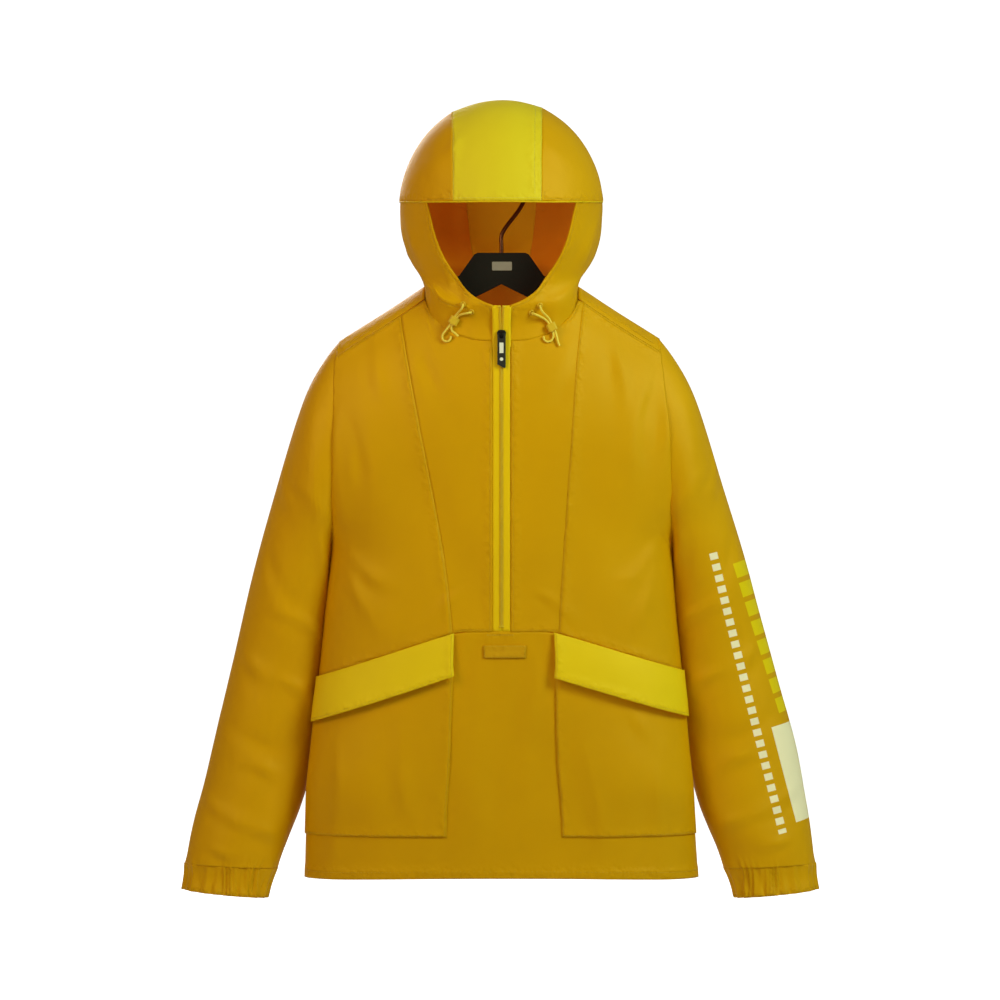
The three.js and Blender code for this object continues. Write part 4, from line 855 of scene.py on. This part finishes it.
# %% Hood and zip tapes
VISOR_LINE = [(92, -60, -36), (102, -48, -35.2), (110, -36, -34.4), (116, -22, -33.4), (120, -6, -32.3),
              (121, 12, -31)]


def on_face_rim(point):
    return point.y < -0.02 and abs(point.x) < 0.0999 and -0.172 < point.z < -0.03


for side, sign in (("left", -1), ("right", 1)):
    add_cloth(f"hood_side_{side}", shell_cloth, [("all", 4.2, on_face_rim)],
              field=hood_field, height=hood_relief,
              lines=[("shell", [(sign * x, y, z) for x, y, z in VISOR_LINE])])
    add_cloth(f"zip_tape_{side}", tape_cloth, [], levels=2)
add_cloth("hood_center", lemon_cloth,
          [("right", 1.8, lambda p: p.z > HOOD_Z), ("right", 9.5, lambda p: p.z > HOOD_Z),
           ("left", 1.8, lambda p: p.z > HOOD_Z), ("bottom", 4.2, lambda p: p.y < -0.05 and p.z < -0.03)],
          field=hood_field, height=hood_relief, thread="pale", inside=backlit_panel_inside)
add_cloth("front_patch", patch_cloth, [("all", 1.4, None)], levels=2,
          height=lambda points: np.zeros(len(points)))

# %% [markdown]
# The visor ends in a narrow bound edge. It shows as one light line across the whole hood: over
# the face opening it closes the cloth's lower rim, and beside it it lies on the hood. Rays
# towards the head's middle find its places on the pieces, and a thin round curve follows them.

# %% Bound edge of the visor
VISOR_EDGE_WIDTH = 1.7
hood_trees = []
for node in ("hood_side_left", "hood_center", "hood_side_right"):
    form = bmesh.new()
    form.from_mesh(CLOTH_PIECES[node].data)
    hood_trees.append(BVHTree.FromBMesh(form))
    form.free()


def on_hood(angle, height):
    """The hood's outer face in a direction round the head, 0 in front, at one height."""
    outward = Vector((math.sin(angle), -math.cos(angle), 0))
    hits = [tree.ray_cast(outward * 0.3 + Vector((0, 0, height)), -outward)[0] for tree in hood_trees]
    hits = [hit for hit in hits if hit is not None]
    return max(hits, key=lambda hit: hit.dot(outward)) if hits else None


edge_places = []
for step in range(-34, 35):
    hit = on_hood(math.radians(step * 3), -0.036)
    if hit is not None and hit.y < 0.05:
        edge_places.append((hit.x / MM, hit.y / MM, float(visor_level(hit.y)) / MM))
visor_edge = curve_to_mesh(smooth_curve("visor_line", edge_places, VISOR_EDGE_WIDTH), "visor_edge")
# The bound edge takes the flap cloth, whose lighter yellow is partly painted light.
visor_edge.data.materials.append(flap_cloth_with_painted_light)
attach(visor_edge, GARMENT)
print("bound edge through", len(edge_places), "places")

# %% [markdown]
# ## Threads
# All stitches of one colour are a single mesh. A stitch is a stretched twelve-cornered ball,
# a little shorter than its spacing, so thousands of them stay light.

# %% Thread meshes
def plain_material(name, color, roughness, metallic=0.0, bump=0.0, grain=600.0, coat=0.0):
    """A hard or plain finish with a fine uneven surface."""
    material = bpy.data.materials.new(name)
    material.use_nodes = True
    tree = material.node_tree
    w = Wiring(tree)
    shader = tree.nodes["Principled BSDF"]
    place = w.node("TexCoord").outputs["Object"]
    speckle = w.noise(place, grain, 3)
    cloudy = w.noise(place, grain / 12, 2)
    dark = tuple(value * 0.72 for value in color[:3]) + (1.0,)
    w.put(shader.inputs["Base Color"], w.mix(w.math("MULTIPLY", cloudy, 0.8), color, dark))
    w.put(shader.inputs["Roughness"], w.math("MULTIPLY_ADD", speckle, 0.16, roughness - 0.08))
    shader.inputs["Metallic"].default_value = metallic
    shader.inputs["Coat Weight"].default_value = coat
    if bump:
        made = w.node("Bump", {"Height": speckle, "Distance": bump, "Strength": 0.6})
        w.put(shader.inputs["Normal"], made.outputs[0])
    return material


THREAD_COLORS = {"shell": seen(222, 178, 24), "pale": seen(236, 220, 110)}
for thread, stitches in all_stitches.items():
    if not stitches:
        continue
    form = bmesh.new()
    for place, along, normal in stitches:
        forward = along.normalized()
        across = normal.cross(forward).normalized()
        half = min(along.length, 0.0034) * 0.4
        frame_matrix = Matrix((forward * half, across * 0.00026, normal * 0.00024)).transposed().to_4x4()
        bmesh.ops.create_icosphere(form, subdivisions=1, radius=1,
                                   matrix=Matrix.Translation(place) @ frame_matrix)
    mesh = bpy.data.meshes.new(f"stitches_{thread}")
    form.to_mesh(mesh)
    form.free()
    mesh.shade_smooth()
    mesh.materials.append(plain_material(f"{thread} thread", THREAD_COLORS[thread], 0.55, grain=2500.0))
    stitching = bpy.data.objects.new(f"stitches_{thread}", mesh)
    bpy.context.collection.objects.link(stitching)
    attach(stitching, GARMENT)
    print(f"{thread} thread: {len(stitches)} stitches")

# %% [markdown]
# ## Zip
# The zip is a coil zip in the shell's own yellow. Its closed part is a chain of small teeth
# that reach across the middle by turns. Above the slider the two rows part in a narrow V.

# %% Zip teeth
ZIP_TOP, ZIP_BOTTOM, SLIDER_Z = -0.1675, -0.5475, -0.2005
TOOTH_PITCH = 0.0013
tapes = {}
for side in ("left", "right"):
    form = bmesh.new()
    form.from_mesh(CLOTH_PIECES[f"zip_tape_{side}"].data)
    tapes[side] = BVHTree.FromBMesh(form)
    form.free()


def tape_front(side, x, z):
    """The tape's outer face in front of a place, found by a ray from the front."""
    hit, normal, _, _ = tapes[side].ray_cast(Vector((x, -0.3, z)), Vector((0, 1, 0)))
    return (hit, normal) if hit else (None, None)


form = bmesh.new()
count = 0
z = ZIP_TOP
while z > ZIP_BOTTOM:
    for side, sign in (("left", -1), ("right", 1)):
        shift = TOOTH_PITCH / 2 if side == "right" else 0
        parted = 0.0009 * min(1.0, max(0.0, (z - SLIDER_Z) / 0.02))
        hit, normal = tape_front(side, sign * (0.0026 + parted), z - shift)
        if hit is None:
            continue
        start = Vector((sign * (0.0009 + parted), hit.y - 0.0004, z - shift))
        size = Matrix.Diagonal((0.0021, 0.0007, 0.00045, 1))
        bmesh.ops.create_icosphere(form, subdivisions=1, radius=1, matrix=Matrix.Translation(start) @ size)
        count += 1
    z -= TOOTH_PITCH
for z, sign in ((ZIP_TOP + 0.001, -1), (ZIP_TOP + 0.001, 1), (ZIP_BOTTOM - 0.0005, 0)):
    side = "left" if sign < 0 else "right"
    hit, _ = tape_front(side, (sign or 1) * 0.003, z)
    if hit is None:
        continue
    centre = Vector((sign * 0.0028, hit.y - 0.0006, z))
    stop = bmesh.ops.create_cube(form, size=1, matrix=Matrix.Translation(centre) @ Matrix.Diagonal(
        (0.0034 if sign else 0.006, 0.0016, 0.0022, 1)))
    edges = {edge for vert in stop["verts"] for edge in vert.link_edges}
    bmesh.ops.bevel(form, geom=list(edges), offset=0.0004, offset_type="OFFSET", segments=2, profile=0.5,
                    affect="EDGES", material=-1, clamp_overlap=True)
mesh = bpy.data.meshes.new("zip_teeth")
form.to_mesh(mesh)
form.free()
mesh.shade_smooth()
teeth_finish = plain_material("zip teeth", seen(244, 202, 34), 0.38, grain=900.0)
mesh.materials.append(teeth_finish)
zip_teeth = bpy.data.objects.new("zip_teeth", mesh)
bpy.context.collection.objects.link(zip_teeth)
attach(zip_teeth, GARMENT)
print("zip teeth:", count)

# %% [markdown]
# ## Hard pieces
# The slider, its bridge, the pull tab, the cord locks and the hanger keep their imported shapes.
# A Bevel modifier rounds their edges where the light would catch them, and each gets its own
# finish. The pull tab carries a plain pale block and a dot, printed on its front.

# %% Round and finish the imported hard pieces
def round_edges(node, width, segments=3, angle=30):
    """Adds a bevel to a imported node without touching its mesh."""
    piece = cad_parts[node]
    weld = piece.modifiers.new("weld", "WELD")
    weld.merge_threshold = 2e-6
    bevel = piece.modifiers.new("rounded edges", "BEVEL")
    bevel.width = width * MM
    bevel.segments = segments
    bevel.limit_method = "ANGLE"
    bevel.angle_limit = math.radians(angle)
    bevel.harden_normals = False


def finish_node(node, material):
    """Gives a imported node's own object a material, and leaves its mesh alone."""
    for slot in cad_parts[node].material_slots:
        slot.link = "OBJECT"
        slot.material = material


black_metal = plain_material("black painted metal", seen(34, 30, 27), 0.34, metallic=0.6, grain=1500.0,
                             coat=0.2)
black_rubber = plain_material("black rubber", seen(30, 28, 27), 0.5, bump=0.00006, grain=2400.0)
hanger_black = plain_material("black hanger", seen(14, 9, 6), 0.56, bump=0.00012, grain=420.0)
# Painted reflection: the hook's brown colour is the orange of the cloth that it reflects.
hook_metal_with_painted_reflection = plain_material("dark hook wire", seen(104, 66, 48), 0.3, metallic=1.0, grain=900.0)
lock_plastic = plain_material("yellow cord lock", seen(232, 186, 30), 0.42, bump=0.00004, grain=1600.0)
cord_yarn = plain_material("drawcord yarn", seen(255, 224, 84), 0.66, bump=0.0002, grain=1300.0)
eyelet_paint = plain_material("eyelet paint", seen(232, 184, 20), 0.34, metallic=0.15, grain=900.0)
plate_metal = plain_material("bare plate", seen(172, 166, 158), 0.42, metallic=0.4, grain=900.0)
for node, width in (("zip_slider", 0.5), ("zip_slider_bridge", 0.3), ("zip_pull_tab", 0.35),
                    ("cord_lock_left", 0.9), ("cord_lock_right", 0.9), ("hanger_body", 2.2)):
    round_edges(node, width)
finish_node("zip_slider", black_metal)
finish_node("zip_slider_bridge", black_metal)
finish_node("hanger_body", hanger_black)
hanger_black.node_tree.nodes["Principled BSDF"].inputs["Specular IOR Level"].default_value = 0.25
finish_node("cord_lock_left", lock_plastic)
finish_node("cord_lock_right", lock_plastic)

# %% The pull tab's finish
def tab_material():
    """Black rubber with a plain pale block and a dot on the front."""
    material = bpy.data.materials.new("pull tab rubber")
    material.use_nodes = True
    tree = material.node_tree
    w = Wiring(tree)
    shader = tree.nodes["Principled BSDF"]
    place = w.node("TexCoord").outputs["Object"]
    block = w.node("Group", node_tree=STRIPE)
    w.put(block.inputs["Coordinates"], place)
    block.inputs["Start"].default_value = (0, 0, -0.2095)
    block.inputs["Half width"].default_value = 0.0024
    block.inputs["Length"].default_value = 0.0125
    block.inputs["Behind"].default_value = -0.0706
    split = w.node("SeparateXYZ", {"Vector": place})
    across = w.math("DIVIDE", split.outputs["X"], 0.0021)
    down = w.math("DIVIDE", w.math("ADD", split.outputs["Z"], 0.2292), 0.0021)
    far = w.math("ADD", w.math("MULTIPLY", across, across), w.math("MULTIPLY", down, down))
    dot = w.math("MULTIPLY", w.math("LESS_THAN", far, 1.0), w.math("LESS_THAN", split.outputs["Y"], -0.0706))
    ink = w.math("MAXIMUM", block.outputs["Mask"], dot)
    w.put(shader.inputs["Base Color"], w.mix(ink, seen(30, 27, 25), seen(236, 232, 226)))
    grain = w.noise(place, 2400, 2)
    w.put(shader.inputs["Roughness"], w.math("MULTIPLY_ADD", grain, 0.14, 0.42))
    bump = w.node("Bump", {"Height": grain, "Distance": 0.00005, "Strength": 0.6})
    w.put(shader.inputs["Normal"], bump.outputs[0])
    return material


finish_node("zip_pull_tab", tab_material())
for cord in drawcord_objects:
    cord.data.materials.append(cord_yarn)

# %% [markdown]
# The eyelets, the hook and the plate on the hanger are round or smooth, so they are made anew
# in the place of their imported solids: eyelets by a spin, the hook as a round curve.

# %% Eyelets
EYELETS = {
    "left_a": ((-46, -66.4, -163.5), (-0.05, -0.95, -0.1)),
    "left_b": ((-36, -64.9, -172.5), (-0.23, -0.89, -0.4)),
    "right_a": ((46, -66.4, -165), (0.15, -0.93, -0.2)),
    "right_b": ((36, -64.4, -173.5), (0.3, -0.87, -0.4)),
}
EYELET_PROFILE = ((1.65, 0.05), (3.5, 0.05), (3.6, 0.5), (3.1, 1.05), (2.5, 1.2), (1.9, 1.0), (1.65, 0.55))
for name, (place, out) in EYELETS.items():
    form = bmesh.new()
    ring = [form.verts.new((radius * MM, 0, height * MM)) for radius, height in EYELET_PROFILE]
    loop = [form.edges.new((a, b)) for a, b in zip(ring, ring[1:] + ring[:1])]
    bmesh.ops.spin(form, geom=ring + loop, cent=(0, 0, 0), axis=(0, 0, 1), angle=2 * math.pi, steps=28,
                   use_merge=True)
    bmesh.ops.remove_doubles(form, verts=form.verts, dist=1e-6)
    bmesh.ops.recalc_face_normals(form, faces=form.faces)
    turn = Vector(out).to_track_quat("Z", "Y").to_matrix().to_4x4()
    bmesh.ops.transform(form, matrix=Matrix.Translation(Vector(place) * MM) @ turn, verts=form.verts)
    mesh = bpy.data.meshes.new(f"ring_{name}")
    form.to_mesh(mesh)
    form.free()
    mesh.shade_smooth()
    mesh.materials.append(eyelet_paint)
    ring_object = bpy.data.objects.new(f"ring_{name}", mesh)
    bpy.context.collection.objects.link(ring_object)
    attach(ring_object, GARMENT)
    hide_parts(f"eyelet_{name}")

# %% Hook and hanger plate
HOOK = {"wire": 5.0, "radius": 28.6, "neck": 47.6, "foot": -98.2, "end": 191}
hook_centre = HOOK["wire"] / 2 - HOOK["radius"]
bend = hook_centre - HOOK["neck"]
start = -math.asin(HOOK["radius"] / HOOK["neck"] * 0.8)
hook_points = [(0, 0, HOOK["foot"]), (0, 0, HOOK["foot"] + 8), (0, 0, bend - 4), (2.2, 0, bend + 1.5)]
for step in range(15):
    angle = start + (math.radians(HOOK["end"]) - start) * step / 14
    hook_points.append((HOOK["radius"] * math.cos(angle), 0, hook_centre + HOOK["radius"] * math.sin(angle)))
hook = curve_to_mesh(smooth_curve("hook_line", hook_points, HOOK["wire"]), "hook")
hook.data.materials.append(hook_metal_with_painted_reflection)
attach(hook, GARMENT)
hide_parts("hanger_hook")

form = bmesh.new()
bmesh.ops.create_cube(form, size=1, matrix=Matrix.Translation((0.0006, -0.00625, -0.1146)) @ Matrix.Diagonal(
    (0.024, 0.0006, 0.0105, 1)))
corners = [edge for edge in form.edges if abs((edge.verts[0].co - edge.verts[1].co).y) > 0.0004]
bmesh.ops.bevel(form, geom=corners, offset=0.0012, offset_type="OFFSET", segments=4, profile=0.5,
                affect="EDGES", material=-1, clamp_overlap=True)
mesh = bpy.data.meshes.new("hanger_plate")
form.to_mesh(mesh)
form.free()
mesh.materials.append(plate_metal)
plate = bpy.data.objects.new("hanger_plate", mesh)
bpy.context.collection.objects.link(plate)
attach(plate, GARMENT)
print("hard pieces finished")

# %% [markdown]
# ## Studio
# A pale floor that turns up into a wall far behind, one soft light near the upper right, a
# weaker warm one at the upper left and one behind for the garment's back. Both front lights
# are near and point at the hood, so the shoulders are brighter than the hem. Floor and world
# show white: they glow for the camera alone, which a Light Path node tells, and hardly light
# the garment from below.

# %% Floor and wall
FLOOR_Z = -1.02
form = bmesh.new()
WALL_Y, WALL_BEND = 7.8, 1.2
profile = [(-9.0, FLOOR_Z), (WALL_Y - WALL_BEND, FLOOR_Z)]
for step in range(1, 11):
    angle = math.radians(9 * step)
    profile.append((WALL_Y - WALL_BEND * (1 - math.sin(angle)), FLOOR_Z + WALL_BEND * (1 - math.cos(angle))))
profile.append((WALL_Y, 6.0))
line = [form.verts.new((-9, y, z)) for y, z in profile]
edges = [form.edges.new(pair) for pair in zip(line, line[1:])]
made = bmesh.ops.extrude_edge_only(form, edges=edges)
moved = [part for part in made["geom"] if isinstance(part, bmesh.types.BMVert)]
bmesh.ops.translate(form, vec=(18, 0, 0), verts=moved)
mesh = bpy.data.meshes.new("floor")
form.to_mesh(mesh)
form.free()
mesh.shade_smooth()
pale_floor = plain_material("pale floor", seen(236, 236, 235), 0.8, grain=8.0)
w = Wiring(pale_floor.node_tree)
floor_shader = pale_floor.node_tree.nodes["Principled BSDF"]
floor_shader.inputs["Emission Color"].default_value = (1, 1, 1, 1)
w.put(floor_shader.inputs["Emission Strength"],
      w.math("MULTIPLY", w.node("LightPath").outputs["Is Camera Ray"], 1.0))
mesh.materials.append(pale_floor)
floor = bpy.data.objects.new("floor", mesh)
bpy.context.collection.objects.link(floor)


# %% Lights
def area_light(name, place, target, size, power, color=(1, 1, 1)):
    data = bpy.data.lights.new(name, "AREA")
    data.shape = "DISK"
    data.size = size
    data.energy = power
    data.color = color
    light = bpy.data.objects.new(name, data)
    light.location = place
    light.rotation_euler = (Vector(target) - Vector(place)).to_track_quat("-Z", "Y").to_euler()
    bpy.context.collection.objects.link(light)
    return light


area_light("key", (1.25, -1.12, 0.6), (0.08, 0, 0.05), 0.9, 25, (0.75, 1, 0.62))
area_light("fill", (-1.0, -1.2, 0.3), (-0.05, 0, 0.05), 0.8, 9, (1, 0.79, 0.48))
area_light("behind", (-1.0, 2.2, 0.9), (0, 0, -0.4), 1.4, 26, (1, 0.95, 0.86))
world = bpy.data.worlds.new("studio")
world.use_nodes = True
w = Wiring(world.node_tree)
background = world.node_tree.nodes["Background"]
background.inputs["Color"].default_value = (1, 0.93, 0.84, 1)
w.put(background.inputs["Strength"],
      w.math("MULTIPLY_ADD", w.node("LightPath").outputs["Is Camera Ray"], 1.0, 0.2))
bpy.context.scene.world = world
